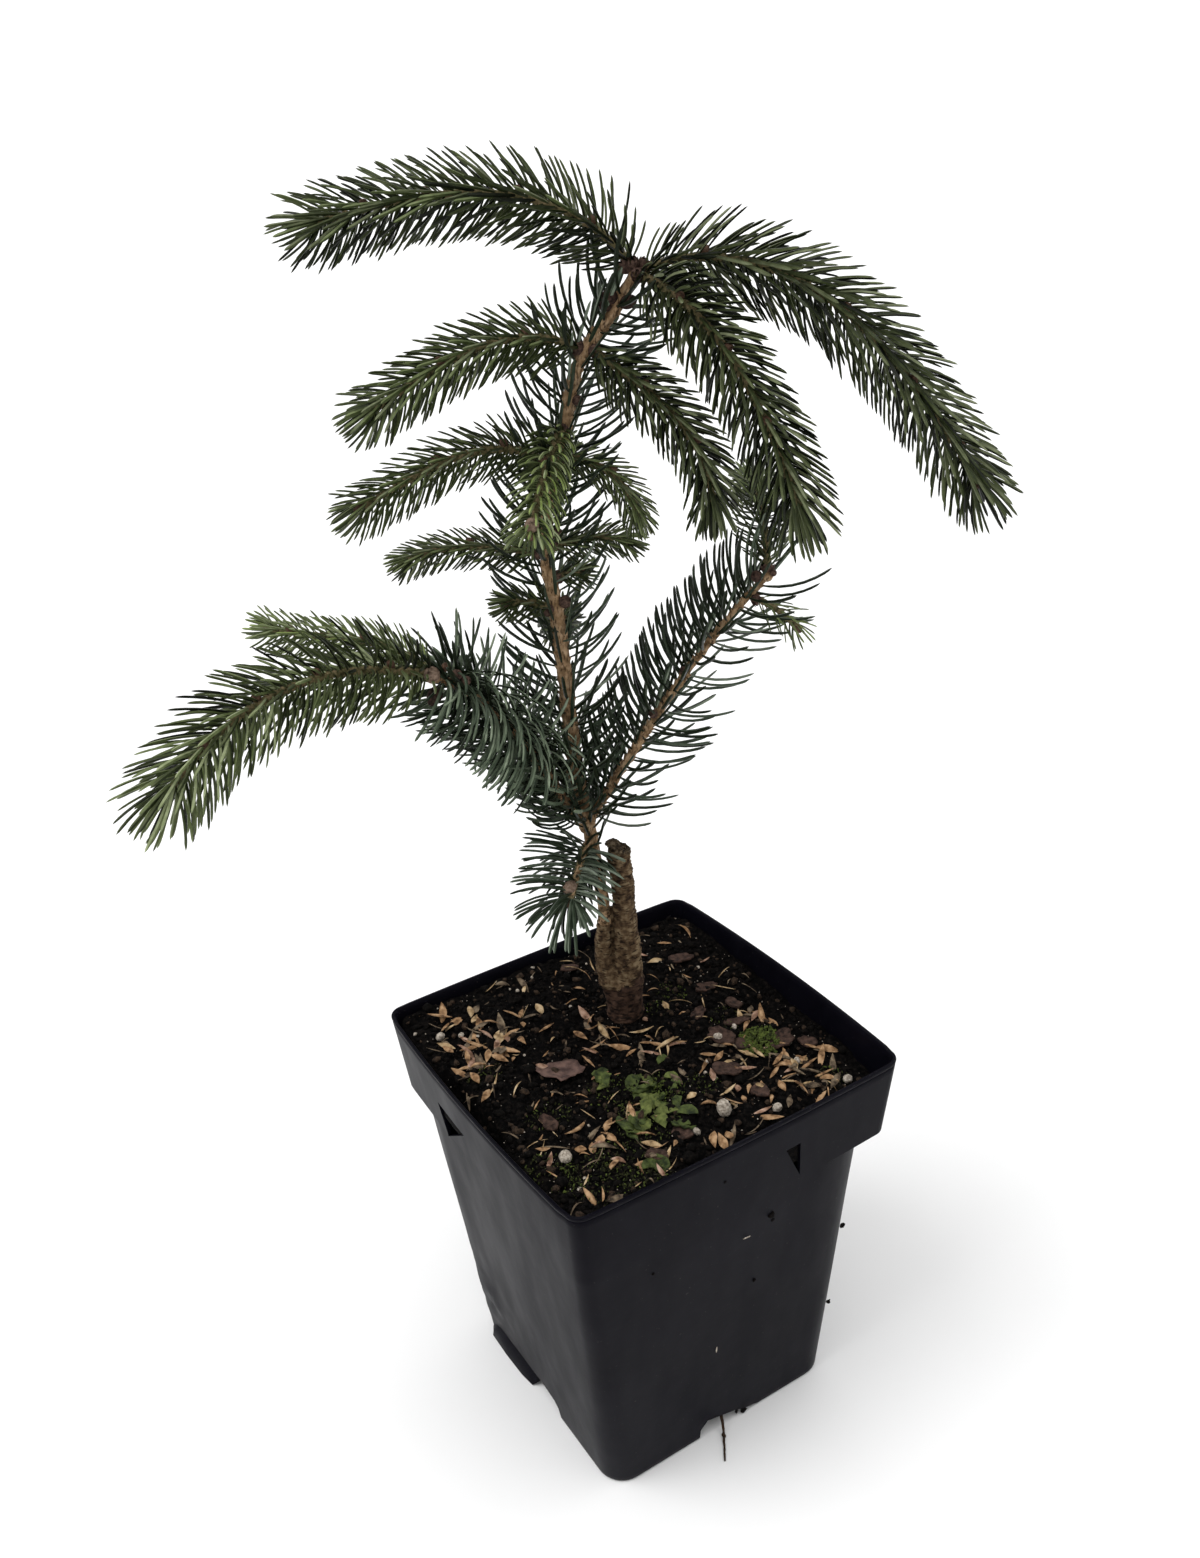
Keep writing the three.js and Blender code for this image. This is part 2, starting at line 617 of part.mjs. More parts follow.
// A thin sleeve round a stretch of stem or bough, with its needles
function makeSleeve(name) {
  const { limb, from, to, needle, habit } = SLEEVES[name];
  const limbPath = paths[limb];
  const share = (value) => (limb === 'stem' ? shareAtHeight(limbPath, value) : value);
  const part = stretch(limbPath, share(from), share(to));
  const sides = limb === 'stem' ? STEM_SIDES : BOUGH_SIDES;
  const thick = { ...part, radii: part.radii.map((r) => r + SLEEVE_WALL) };
  const spikes = needles(name, limb, part, needle, habit);
  let solid = joined([tube(thick, sides), ...spikes]);
  for (const wood of Object.values(room)) {
    solid = solid.subtract(wood);
  }
  if (limb !== 'stem') {
    solid = solid.subtract(tube(stemPath, STEM_SIDES, SLEEVE_WALL + 2 * CLEAR));
  }
  return largestPiece(solid);
}

const plant = new THREE.Group();
function addPiece(parent, name, solid, look) {
  const mesh = new THREE.Mesh(toGeometry(solid), material(look));
  mesh.name = name;
  parent.add(mesh);
}

const potted = new THREE.Group();
addPiece(potted, 'pot', makePot(), 'pot');
addPiece(potted, 'soil', makeSoil(), 'soil');
addPiece(plant, 'trunk', makeTrunk(), 'stem');
addPiece(plant, 'cut_stub', makeStub(), 'bark');
Object.keys(BOUGHS).forEach((name) => addPiece(plant, name, makeBough(name), 'stem'));
Object.keys(SHOOTS).forEach((name) => addPiece(plant, name, makeShoot(name), 'new_needles'));
Object.keys(SLEEVES).forEach((name) => addPiece(plant, name, makeSleeve(name), 'old_needles'));
potted.add(plant);

export default potted;
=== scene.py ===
# Looks for the potted weeping white spruce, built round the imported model. Places and sizes
# are in millimetres in the model's own frame (origin under the pot's middle, +Z up) and
# turn into metres when a mesh is made. Headings are in degrees from +X towards +Y,
# pitches in degrees above level.

import math

import bmesh
import bpy
import numpy as np
from mathutils import Matrix, Vector


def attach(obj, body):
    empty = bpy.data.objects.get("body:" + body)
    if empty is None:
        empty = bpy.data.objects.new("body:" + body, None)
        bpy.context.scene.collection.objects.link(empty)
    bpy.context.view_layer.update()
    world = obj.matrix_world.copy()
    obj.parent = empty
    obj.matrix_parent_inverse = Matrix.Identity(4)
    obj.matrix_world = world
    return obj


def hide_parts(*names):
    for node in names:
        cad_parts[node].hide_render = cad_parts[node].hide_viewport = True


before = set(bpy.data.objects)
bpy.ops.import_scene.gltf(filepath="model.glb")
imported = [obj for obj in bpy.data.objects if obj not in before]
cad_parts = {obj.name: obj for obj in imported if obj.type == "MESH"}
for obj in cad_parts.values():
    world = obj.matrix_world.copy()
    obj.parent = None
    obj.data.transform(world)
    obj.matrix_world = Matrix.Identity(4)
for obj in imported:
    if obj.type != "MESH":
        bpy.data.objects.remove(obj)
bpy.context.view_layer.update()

MM = 0.001
UP = np.array([0.0, 0.0, 1.0])
GOLDEN_ANGLE = 137.508
rng = np.random.default_rng(20)

# Headings as the photo shows them
IMAGE_RIGHT = 59
IMAGE_LEFT = -121
TO_CAMERA = -31
CAMERA_PITCH = 27

# Pot
POT_HEIGHT = 126
RIM_SIDE = 110
BASE_SIDE = 82
WALL = 1.2
FLOOR = 2
LIP_HEIGHT = 1.6
BAND_FOOT = 100.2
BAND_FOOT_SIDE = 105.3
STEP_RISE = 0.8
RIM_CORNER = 4.6
BASE_CORNER = 8.3
STEPPED_CORNER = 21
BOW_X = 0.9
BOW_Y = 2.2
CORNER_STEPS = 9
SIDE_STEPS = 36
DRAIN_DEPTH = 9
SOIL_TOP = 119.3
SOIL_FALL_X = 0.053
SOIL_FALL_Y = 0.029
SOIL_MOUND = 0.8
# Half the soil's width at the pot's corners, and how far its edges bow out between them
SOIL_HALF = 52.6
SOIL_BOW_X = 0.9
SOIL_BOW_Y = 2.0
SOIL_FOOT = 106

# Trunk: where it leaves the soil, and height, sway and radius along it
FOOT = np.array([-16.5, 8.1, 0.0])
SWAY_HEADING = 59
STEM_STATIONS = [
    (123.6, -2.0, 3.4), (141.3, -5.8, 3), (159, -5.1, 1.8), (179.6, -7.2, 1.9), (201.2, -10.4, 2.3),
    (232.7, -11.8, 2), (252.3, -12.8, 1.9), (270, -14.6, 1.8), (284.8, -12.5, 1.7),
    (300.5, -7.7, 1.7), (316.2, -3.1, 1.6), (330, 7.3, 1.6), (336.8, 12.2, 1.6),
]
ROOTSTOCK_STATIONS = [
    (116.8, -0.7, 6.4), (123.6, -0.4, 5.4), (134.4, 0.6, 4.7), (154.1, 0.8, 3.6), (183.6, 0.0, 3.1),
]
STUB_TOP = 179.6
STUB_CUT_SLOPE = 15

# Limbs. place: the height at which a limb leaves the stem, or a bough and the share of its
# length; rise and fall: pitches at which it leaves and ends; bow: how far its middle bends
# up, or down below 0; needle: length of its needles
LIMB_KEYS = ("place", "heading", "rise", "fall", "bow", "length", "needle")
BOUGHS = {
    "right_bough": (187.5, 54, 58, 46, 4, 89.4),
    "left_bough": (187.5, -91, 55, 31, 16, 71.7),
}
SHOOTS = {
    "top_left_shoot": (336.8, -131, 59, -11, -20, 85.5, 13.3),
    "top_right_shoot": (336.8, 44, 24, -56, -22, 105.1, 14.2),
    "top_front_shoot": (336.8, 4, -8, -64, -5, 76, 13.3),
    "upper_right_shoot": (320.6, 24, -32, -88, 21, 51.1, 10.8),
    "upper_left_shoot": (319.1, -106, 36, -26, -20, 57, 10.8),
    "middle_front_shoot": (301.5, -54, -20, -60, 0, 32, 8.6),
    "middle_right_shoot": (293.1, 49, 9, -78, -2, 27.5, 7.2),
    "middle_left_shoot": (290.2, -91, 51, -16, -24, 56, 9.8),
    "back_upper_shoot": (295.6, 154, 0, -60, 0, 33.4, 8.8),
    "lower_right_shoot": (270.5, 79, -2, -27, 13, 23.5, 6.4),
    "lower_left_shoot": (268.5, -131, 9, -25, 8, 38.3, 7),
    "back_lower_shoot": (245.5, 150, 20, -50, 0, 29.5, 8.8),
    "right_tuft": (261.2, 69, 20, 0, 0, 8, 5.8),
    "left_tuft": (252.3, -106, 40, 0, 0, 13.5, 6.6),
    "bough_right_shoot": (("right_bough", 1), 149, 75, -20, 0, 41.3, 8.8),
    "bough_right_tuft": (("right_bough", 0.92), 49, -20, -50, 0, 15, 6.5),
    "bough_left_shoot": (("left_bough", 1), -74, 28, -40, 9, 83.5, 15.2),
    "bough_left_side_shoot": (("left_bough", 1), -134, 50, 12, -23, 45.2, 7.9),
    "collar_tuft": (183.6, -55, -25, -50, 0, 20, 17.2),
}
BOUGHS, SHOOTS = (
    {name: dict(zip(LIMB_KEYS, row)) for name, row in table.items()} for table in (BOUGHS, SHOOTS)
)
BOUGH_RADII = (1.35, 0.8)
TWIG_RADII = (0.95, 0.7)

# Needle habits. spacing: millimetres of twig for each needle; splay: angle from the twig at
# the root; end_splay: that angle at the twig's tip; tip_splay: the least angle of the
# needles round the tip bud; lift: a turn up or down; curl: degrees that the needle bends,
# along the twig by `ahead` and towards the sky by `skyward`; ease: share of that bend which
# needles on the twig's upper side do without; peg: size of a needle's peg; bare and thin:
# shares of the needles missing from the side that faces the camera (below 0, from the
# others) and from the under side; part: how far the needles turn away from that side to
# the left and right of it; stray: how far angles wander; tips: extra needles round the tip
# bud; crowd: share of their length that needles towards +Y do without
NEW_GROWTH = dict(
    spacing=0.235, splay=59, end_splay=56, tip_splay=8, lift=-0.22, curl=20, ahead=1.0,
    skyward=-0.1, ease=0.0, width=0.9, blunt=0.25, peg=0.5, bare=0.0, thin=0.0, part=0.0, stray=5,
    tips=12, crowd=0.0,
)
SHORT_GROWTH = dict(NEW_GROWTH, spacing=0.23, splay=55, end_splay=52, width=0.72)
FRONT_GROWTH = dict(
    NEW_GROWTH, spacing=0.2, splay=72, end_splay=84, tip_splay=60, curl=48, width=0.8, lift=0.0,
)
SPARSE_GROWTH = dict(SHORT_GROWTH, spacing=0.5, width=0.58, tips=6)
OLD_GROWTH = dict(
    spacing=0.3, splay=74, end_splay=56, tip_splay=10, lift=0.0, curl=38, ahead=1.0, skyward=0.35,
    ease=0.0, width=1.16, blunt=0.6, peg=0.75, bare=0.3, thin=0.68, part=0.5, stray=3, tips=0,
    crowd=0.0,
)
STEM_GROWTH = dict(
    OLD_GROWTH, splay=72, end_splay=66, curl=42, skyward=0.1, width=1.18, bare=0.5, thin=0.0,
    part=0.45,
)
BOWED = dict(
    OLD_GROWTH, spacing=0.22, splay=76, end_splay=66, curl=46, ahead=0.7, skyward=-0.4, ease=0.9,
    width=0.96, bare=0.85, thin=0.0, part=0.0, stray=6,
)
CURLED = dict(BOWED, splay=80, end_splay=76, curl=78, ease=0.5, bare=0.0)
HANGING = dict(
    OLD_GROWTH, spacing=0.125, splay=96, end_splay=80, curl=88, ahead=0.65, skyward=-1.0,
    width=0.88, bare=-1.0, thin=0.0, part=0.0, stray=6,
)
RAISED = dict(
    OLD_GROWTH, spacing=0.8, splay=50, end_splay=44, curl=10, lift=0.55, width=1.25, bare=0.0,
    thin=1.0, part=0.0, stray=8,
)
LYING = dict(
    OLD_GROWTH, splay=24, end_splay=20, curl=12, skyward=0.6, width=0.96, bare=0.0, thin=0.9,
    part=0.0, stray=8,
)
TUFT = dict(
    spacing=0.115, splay=92, end_splay=74, tip_splay=6, lift=0.0, curl=34, ahead=0.0, skyward=-1.0,
    ease=0.2, width=1.04, blunt=0.8, peg=0.6, bare=0.5, thin=0.0, part=0.0, stray=7, tips=44,
    crowd=0.46,
)


# ---- Numbers and noise

def unit(vectors):
    return vectors / np.linalg.norm(vectors, axis=-1, keepdims=True)


def heading_vector(heading, pitch=0.0):
    h, p = np.radians(heading), np.radians(pitch)
    return np.stack([np.cos(p) * np.cos(h), np.cos(p) * np.sin(h), np.sin(p) + 0 * h], -1)


TO_RIGHT = heading_vector(IMAGE_RIGHT)
TO_FRONT = heading_vector(TO_CAMERA, CAMERA_PITCH)


def smoothstep(value, low, high):
    t = np.clip((value - low) / (high - low), 0, 1)
    return t * t * (3 - 2 * t)


def lattice(cells, seed):
    """A repeatable number from 0 to 1 for each whole-number cell."""
    cells = cells.astype(np.int64).astype(np.uint64)
    mask = np.uint64(0xFFFFFFFF)
    mixed = (
        cells[..., 0] * np.uint64(374761393)
        + cells[..., 1] * np.uint64(668265263)
        + cells[..., 2] * np.uint64(2246822519)
        + np.uint64(seed * 3266489917 % 4294967296)
    ) & mask
    mixed = ((mixed ^ (mixed >> np.uint64(13))) * np.uint64(1274126177)) & mask
    return ((mixed ^ (mixed >> np.uint64(16))) & np.uint64(0xFFFFFF)) / 16777215.0


def noise(points, size, seed=0):
    """Smooth noise from -1 to 1, in lumps of about `size` (a number, or one for each axis)."""
    scaled = np.asarray(points, float) / size
    cell = np.floor(scaled)
    inside = scaled - cell
    ease = inside * inside * (3 - 2 * inside)
    total = 0.0
    for corner in np.ndindex(2, 2, 2):
        corner = np.array(corner)
        weight = np.prod(np.where(corner, ease, 1 - ease), axis=-1)
        total = total + weight * lattice(cell + corner, seed)
    return total * 2 - 1


def fractal(points, size, octaves=3, seed=0):
    size = np.asarray(size, float)
    return sum(noise(points, size / 2**k, seed + k) / 2**k for k in range(octaves))


def tone(red, green, blue):
    """A colour given in screen values from 0 to 255, in linear light."""
    screen = np.array([red, green, blue]) / 255
    linear = np.where(screen > 0.04045, ((screen + 0.055) / 1.055) ** 2.4, screen / 12.92)
    return tuple(float(c) for c in linear)


# ---- Meshes

class Pile:
    """Loose shapes gathered into one mesh, each face with its material's number."""

    def __init__(self):
        self.points, self.faces, self.kinds = [], {3: [], 4: []}, {3: [], 4: []}
        self.count = 0

    def tile(self, shapes, *face_sets):
        """Many shapes (shape x point x 3) with the same faces. A face set is an array of
        triangles or of quads, and their material: one, one each shape or one each face."""
        shapes = np.asarray(shapes, float)
        number, size = shapes.shape[:2]
        offsets = self.count + (np.arange(number) * size)[:, None, None]
        for faces, kinds in face_sets:
            kinds = np.asarray(kinds)
            kinds = kinds if kinds.ndim == 2 else kinds[..., None]
            corners = faces.shape[1]
            self.faces[corners].append((faces[None] + offsets).reshape(-1, corners))
            self.kinds[corners].append(np.broadcast_to(kinds, (number, len(faces))).ravel())
        self.points.append(shapes.reshape(-1, 3))
        self.count += number * size

    def add(self, points, *face_sets):
        self.tile(np.asarray(points, float).reshape(1, -1, 3), *face_sets)

    def build(self, name, materials, smooth=True):
        points = np.concatenate(self.points) * MM
        groups = [(n, np.concatenate(f)) for n, f in self.faces.items() if f]
        kinds = np.concatenate([np.concatenate(self.kinds[n]) for n, _ in groups])
        corners = np.concatenate([np.full(len(f), n) for n, f in groups])
        loops = np.concatenate([f.ravel() for _, f in groups])
        mesh = bpy.data.meshes.new(name)
        mesh.vertices.add(len(points))
        mesh.vertices.foreach_set("co", points.astype(np.float32).ravel())
        mesh.loops.add(len(loops))
        mesh.loops.foreach_set("vertex_index", loops.astype(np.int32))
        mesh.polygons.add(len(corners))
        starts = np.concatenate([[0], np.cumsum(corners)[:-1]])
        mesh.polygons.foreach_set("loop_start", starts.astype(np.int32))
        mesh.polygons.foreach_set("material_index", kinds.astype(np.int32))
        mesh.polygons.foreach_set("use_smooth", np.full(len(corners), smooth))
        mesh.update()
        mesh.validate()
        for material in materials:
            mesh.materials.append(MATERIALS[material])
        piece = bpy.data.objects.new(name, mesh)
        bpy.context.scene.collection.objects.link(piece)
        return piece


def grid_faces(rows, columns, closed):
    """Quads of a grid of points; `closed` joins the last column to the first."""
    r = np.arange(rows - 1)[:, None]
    c = np.arange(columns if closed else columns - 1)[None]
    a, b = r * columns + c, r * columns + (c + 1) % columns
    return np.stack([a, b, b + columns, a + columns], -1).reshape(-1, 4)


def border(grid):
    """The outermost entries of a grid, once round."""
    return np.concatenate([grid[:, 0], grid[-1, 1:], grid[-2::-1, -1], grid[0, -2:0:-1]])


def sheet_faces(rows, columns):
    """Quads of a sheet's front and then of its back, whose points follow the front's."""
    faces = grid_faces(rows, columns, False)
    return np.concatenate([faces, faces[:, ::-1] + rows * columns])


def fan_faces(first, number, point):
    """Triangles from a ring of `number` points, the first of them `first`, to one point."""
    k = np.arange(number)
    return np.stack([first + k, first + (k + 1) % number, point + 0 * k], -1)


def add_tube(pile, rings, kind=0, ends=(True, True)):
    """A skin over rings (ring x point x 3), closed at its ends."""
    rows, columns = rings.shape[:2]
    points = np.concatenate([rings.reshape(-1, 3), rings[:1].mean(1), rings[-1:].mean(1)])
    low = rows * columns
    caps = [fan_faces(0, columns, low)[:, [1, 0, 2]], fan_faces(low - columns, columns, low + 1)]
    shown = [(cap, kind) for cap, end in zip(caps, ends) if end]
    pile.add(points, (grid_faces(rows, columns, True), kind), *shown)


def lump_shape(level):
    """Points and faces of a round lump, finer with `level`."""
    form = bmesh.new()
    bmesh.ops.create_icosphere(form, subdivisions=level, radius=1)
    points = np.array([v.co for v in form.verts])
    faces = np.array([[v.index for v in f.verts] for f in form.faces])
    form.free()
    return points, faces


def turned(heading, lean, roll):
    """A turning matrix: rolled and leaned (degrees) and then turned to a heading."""
    steps = ((heading, "Z"), (lean, "Y"), (roll, "X"))
    first, second, third = (Matrix.Rotation(math.radians(angle), 3, axis) for angle, axis in steps)
    return np.array(first @ second @ third)


def random_turns(number, tilt=180.0):
    angles = rng.uniform(-1, 1, (number, 3)) * [180, tilt, tilt]
    return np.array([turned(*three) for three in angles])


# ---- Limbs

class Path:
    """A limb's centre line, with its radius and a ring frame at every point."""

    def __init__(self, points, radii):
        self.points, self.radii = np.asarray(points, float), np.asarray(radii, float)
        self.tangents = unit(np.gradient(self.points, axis=0))
        side, sides = np.array([1.0, 0.0, 0.0]), []
        for tangent in self.tangents:
            side = unit(side - side @ tangent * tangent)
            sides.append(side)
        self.sides = np.array(sides)
        self.others = np.cross(self.tangents, self.sides)
        steps = np.linalg.norm(np.diff(self.points, axis=0), axis=1)
        self.lengths = np.concatenate([[0], np.cumsum(steps)])
        self.length = self.lengths[-1]

    def _read(self, values, distances):
        if values.ndim == 1:
            return np.interp(distances, self.lengths, values)
        return np.stack([np.interp(distances, self.lengths, v) for v in values.T], -1)

    def point(self, distances):
        return self._read(self.points, distances)

    def radius(self, distances):
        return self._read(self.radii, distances)

    def frames(self, distances):
        return [unit(self._read(v, distances)) for v in (self.tangents, self.sides, self.others)]

    def at_height(self, height):
        return float(np.interp(height, self.points[:, 2], self.lengths))

    def rings(self, step, sides, relief=None, start=0.0, end=None):
        """Rings of points round the limb; relief(points, distance, angle) adds height."""
        end = self.length if end is None else end
        distances = np.linspace(start, end, max(2, round((end - start) / step) + 1))
        angles = np.linspace(0, 2 * np.pi, sides, endpoint=False)
        _, side, other = self.frames(distances)
        turn = angles[None, :, None]
        outward = side[:, None] * np.cos(turn) + other[:, None] * np.sin(turn)
        points = self.point(distances)[:, None] + outward * self.radius(distances)[:, None, None]
        if relief is not None:
            grid = np.meshgrid(distances, angles, indexing="ij")
            points = points + outward * relief(points, *grid)[..., None]
        return points


def station_path(stations, steps=12):
    """A centripetal Catmull-Rom curve through the stations, as in the solid model."""
    places = FOOT + np.array([[0, 0, z] for z, _, _ in stations], float)
    places += np.outer([sway for _, sway, _ in stations], heading_vector(SWAY_HEADING))
    ends = [2 * places[0] - places[1], 2 * places[-1] - places[-2]]
    knots = np.concatenate([ends[:1], places, ends[1:]])
    radii = np.array([radius for _, _, radius in stations], float)
    points, widths = [], []
    for k in range(len(places) - 1):
        p0, p1, p2, p3 = knots[k:k + 4]
        d0, d1, d2 = (math.sqrt(np.linalg.norm(b - a)) for a, b in ((p0, p1), (p1, p2), (p2, p3)))
        m1 = ((p1 - p0) / d0 - (p2 - p0) / (d0 + d1) + (p2 - p1) / d1) * d1
        m2 = ((p2 - p1) / d1 - (p3 - p1) / (d1 + d2) + (p3 - p2) / d2) * d1
        last = k == len(places) - 2
        for t in np.linspace(0, 1, steps + 1)[: None if last else -1]:
            square, cube = -3 * p1 + 3 * p2 - 2 * m1 - m2, 2 * p1 - 2 * p2 + m1 + m2
            points.append(p1 + m1 * t + square * t**2 + cube * t**3)
            widths.append(radii[k] * (1 - t) + radii[k + 1] * t)
    return Path(points, widths)


def arc_path(start, limb, thick, thin):
    """A limb from `start` that bends in one upright plane."""
    steps = max(8, round(limb["length"]))
    share = (np.arange(steps) + 0.5) / steps
    rise, fall, bow = limb["rise"], limb["fall"], limb["bow"]
    pitch = rise + (fall - rise) * share + bow * 4 * share * (1 - share)
    moves = heading_vector(limb["heading"] + 0 * pitch, pitch) * limb["length"] / steps
    points = np.concatenate([[start], start + np.cumsum(moves, axis=0)])
    return Path(points, np.linspace(thick, thin, steps + 1))


stem = station_path(STEM_STATIONS)
rootstock = station_path(ROOTSTOCK_STATIONS)
limbs = {"stem": stem}


def leaves_at(limb):
    """The parent's name, and how far along it the limb leaves."""
    if isinstance(limb["place"], tuple):
        parent, share = limb["place"]
        return parent, share * limbs[parent].length
    return "stem", stem.at_height(limb["place"])


for table, radii in ((BOUGHS, BOUGH_RADII), (SHOOTS, TWIG_RADII)):
    for name, limb in table.items():
        parent, along = leaves_at(limb)
        limbs[name] = arc_path(limbs[parent].point(along), limb, *radii)

# Points along the thick wood, which no needle may run into
WOOD_STEP = 0.8


def wood_points(skip):
    places, radii = [], []
    for name, path in {**limbs, "rootstock": rootstock}.items():
        if name != skip and name not in SHOOTS:
            top = rootstock.at_height(STUB_TOP) if name == "rootstock" else path.length
            along = np.arange(0, top, WOOD_STEP)
            places.append(path.point(along))
            radii.append(path.radius(along))
    return np.concatenate(places), np.concatenate(radii)


# ---- Needles: four-sided blades along arcs

STRAIGHT_STATIONS = np.array([0.0, 0.1, 0.4, 0.75, 0.93, 1.0])
CURVED_STATIONS = np.array([0.0, 0.07, 0.22, 0.4, 0.58, 0.75, 0.88, 0.96, 1.0])
BLADE_FLATNESS = 0.72
BLADE_PLACES = [0, 0.1, 0.25, 0.75, 0.88, 0.96, 1]
# The tone of a needle's look that each of its four faces takes: pale, beside, and the darkest twice.
# The pale face is a painted highlight and the darkest faces are painted shade.
FACE_KINDS = np.array([0, 1, 2, 2])


def arcs(starts, bends, lengths, curls, stations):
    """Centre lines and directions of needles that leave at `starts` and turn to `bends`."""
    across = unit(bends - np.sum(bends * starts, -1, keepdims=True) * starts + 1e-9)
    angle = (curls[:, None] * stations[None])[..., None]
    direction = starts[:, None] * np.cos(angle) + across[:, None] * np.sin(angle)
    middle = (direction[:, 1:] + direction[:, :-1]) / 2
    moves = middle * np.diff(stations)[None, :, None] * lengths[:, None, None]
    centre = np.concatenate([np.zeros((len(starts), 1, 3)), np.cumsum(moves, axis=1)], axis=1)
    return centre, direction, across


def add_needles(pile, roots, starts, bends, lengths, curls, habit, kinds):
    """Blades with one pale upper face, another upper face and two under faces. The pale face, turned
    to the sky, is a painted highlight that also stands for the needle's pale band; the under faces'
    darker tone is painted shade.
    """
    stations = STRAIGHT_STATIONS if habit["curl"] < 20 else CURVED_STATIONS
    width, blunt, number = habit["width"], habit["blunt"], len(roots)
    centre, direction, across = arcs(starts, bends, lengths, curls, stations)
    centre = centre + roots[:, None]
    flat = unit(np.cross(starts, across))[:, None] + 0 * direction
    upright = np.cross(flat, direction)
    twist = rng.uniform(-0.5, 0.5, number)[:, None, None]
    first = flat * np.cos(twist) + upright * np.sin(twist)
    second = upright * np.cos(twist) - flat * np.sin(twist)
    outline = [0.55, 0.88, 1, 1, 0.96, 0.62 + 0.3 * blunt, 0.15 + 0.35 * blunt]
    profile = np.interp(stations, BLADE_PLACES, outline)
    half = width / 2 * profile[None, :, None] * rng.uniform(0.9, 1.1, (number, 1, 1))
    thin = half * BLADE_FLATNESS
    corners = (first * half, second * thin, -first * half, -second * thin)
    ring = np.stack([centre + corner for corner in corners], axis=2)
    tips = centre[:, -1:] + direction[:, -1:] * width * 0.3
    shapes = np.concatenate([ring.reshape(number, -1, 3), tips], axis=1)
    quads = grid_faces(len(stations), 4, True)
    cap = fan_faces(4 * len(stations) - 4, 4, 4 * len(stations))
    # Faces turned to the sky take the look's pale and middle tones, and faces turned down take its
    # darkest: painted highlight above, painted shade below.
    sky = second[:, len(stations) // 2, 2] > 0
    turn = (np.arange(len(quads))[None] + 2 * ~sky[:, None]) % 4
    faces = np.take_along_axis(kinds, FACE_KINDS[turn], axis=1)
    pile.tile(shapes, (quads, faces), (cap, kinds[:, 1]))


PEG_SIDES = 5
PEG_RINGS = ((1.9, 0.62, -0.12), (0.5, 0.42, 0.8))


def add_pegs(pile, feet, outward, ahead, size, kind):
    """The little woody pegs that the needles stand on, running down the twig behind."""
    across = unit(np.cross(ahead, outward))
    turn = np.linspace(0, 2 * np.pi, PEG_SIDES, endpoint=False)
    tops = unit(outward * 0.8 + ahead * 0.6)
    rings = []
    for long, wide, rise in PEG_RINGS:
        back = np.where(np.cos(turn) < 0, long, 0.5)
        rings.append(
            feet[:, None]
            + tops[:, None] * rise * size
            + ahead[:, None] * (np.cos(turn) * back)[None, :, None] * size
            + across[:, None] * (np.sin(turn) * wide)[None, :, None] * size
        )
    shapes = np.concatenate([*rings, (feet + tops * size)[:, None]], axis=1)
    cap = fan_faces(PEG_SIDES, PEG_SIDES, 2 * PEG_SIDES)
    pile.tile(shapes, (grid_faces(2, PEG_SIDES, True), kind), (cap, kind))
    return feet + tops * size * 0.9


# Share of a shoot, and of other limbs, from which needles close up to the tip, and that from
# which they stand round the tip bud
TIP_FROM, END_FROM = 0.8, 0.9
TIP_BUD_FROM = 0.985
# Least height of a needle above the soil's
SOIL_CLEAR = 3
# Shares of a needle's length from root to tip, where it may not run into wood
PROBES = np.array([0, 0.3, 0.65, 1.0])


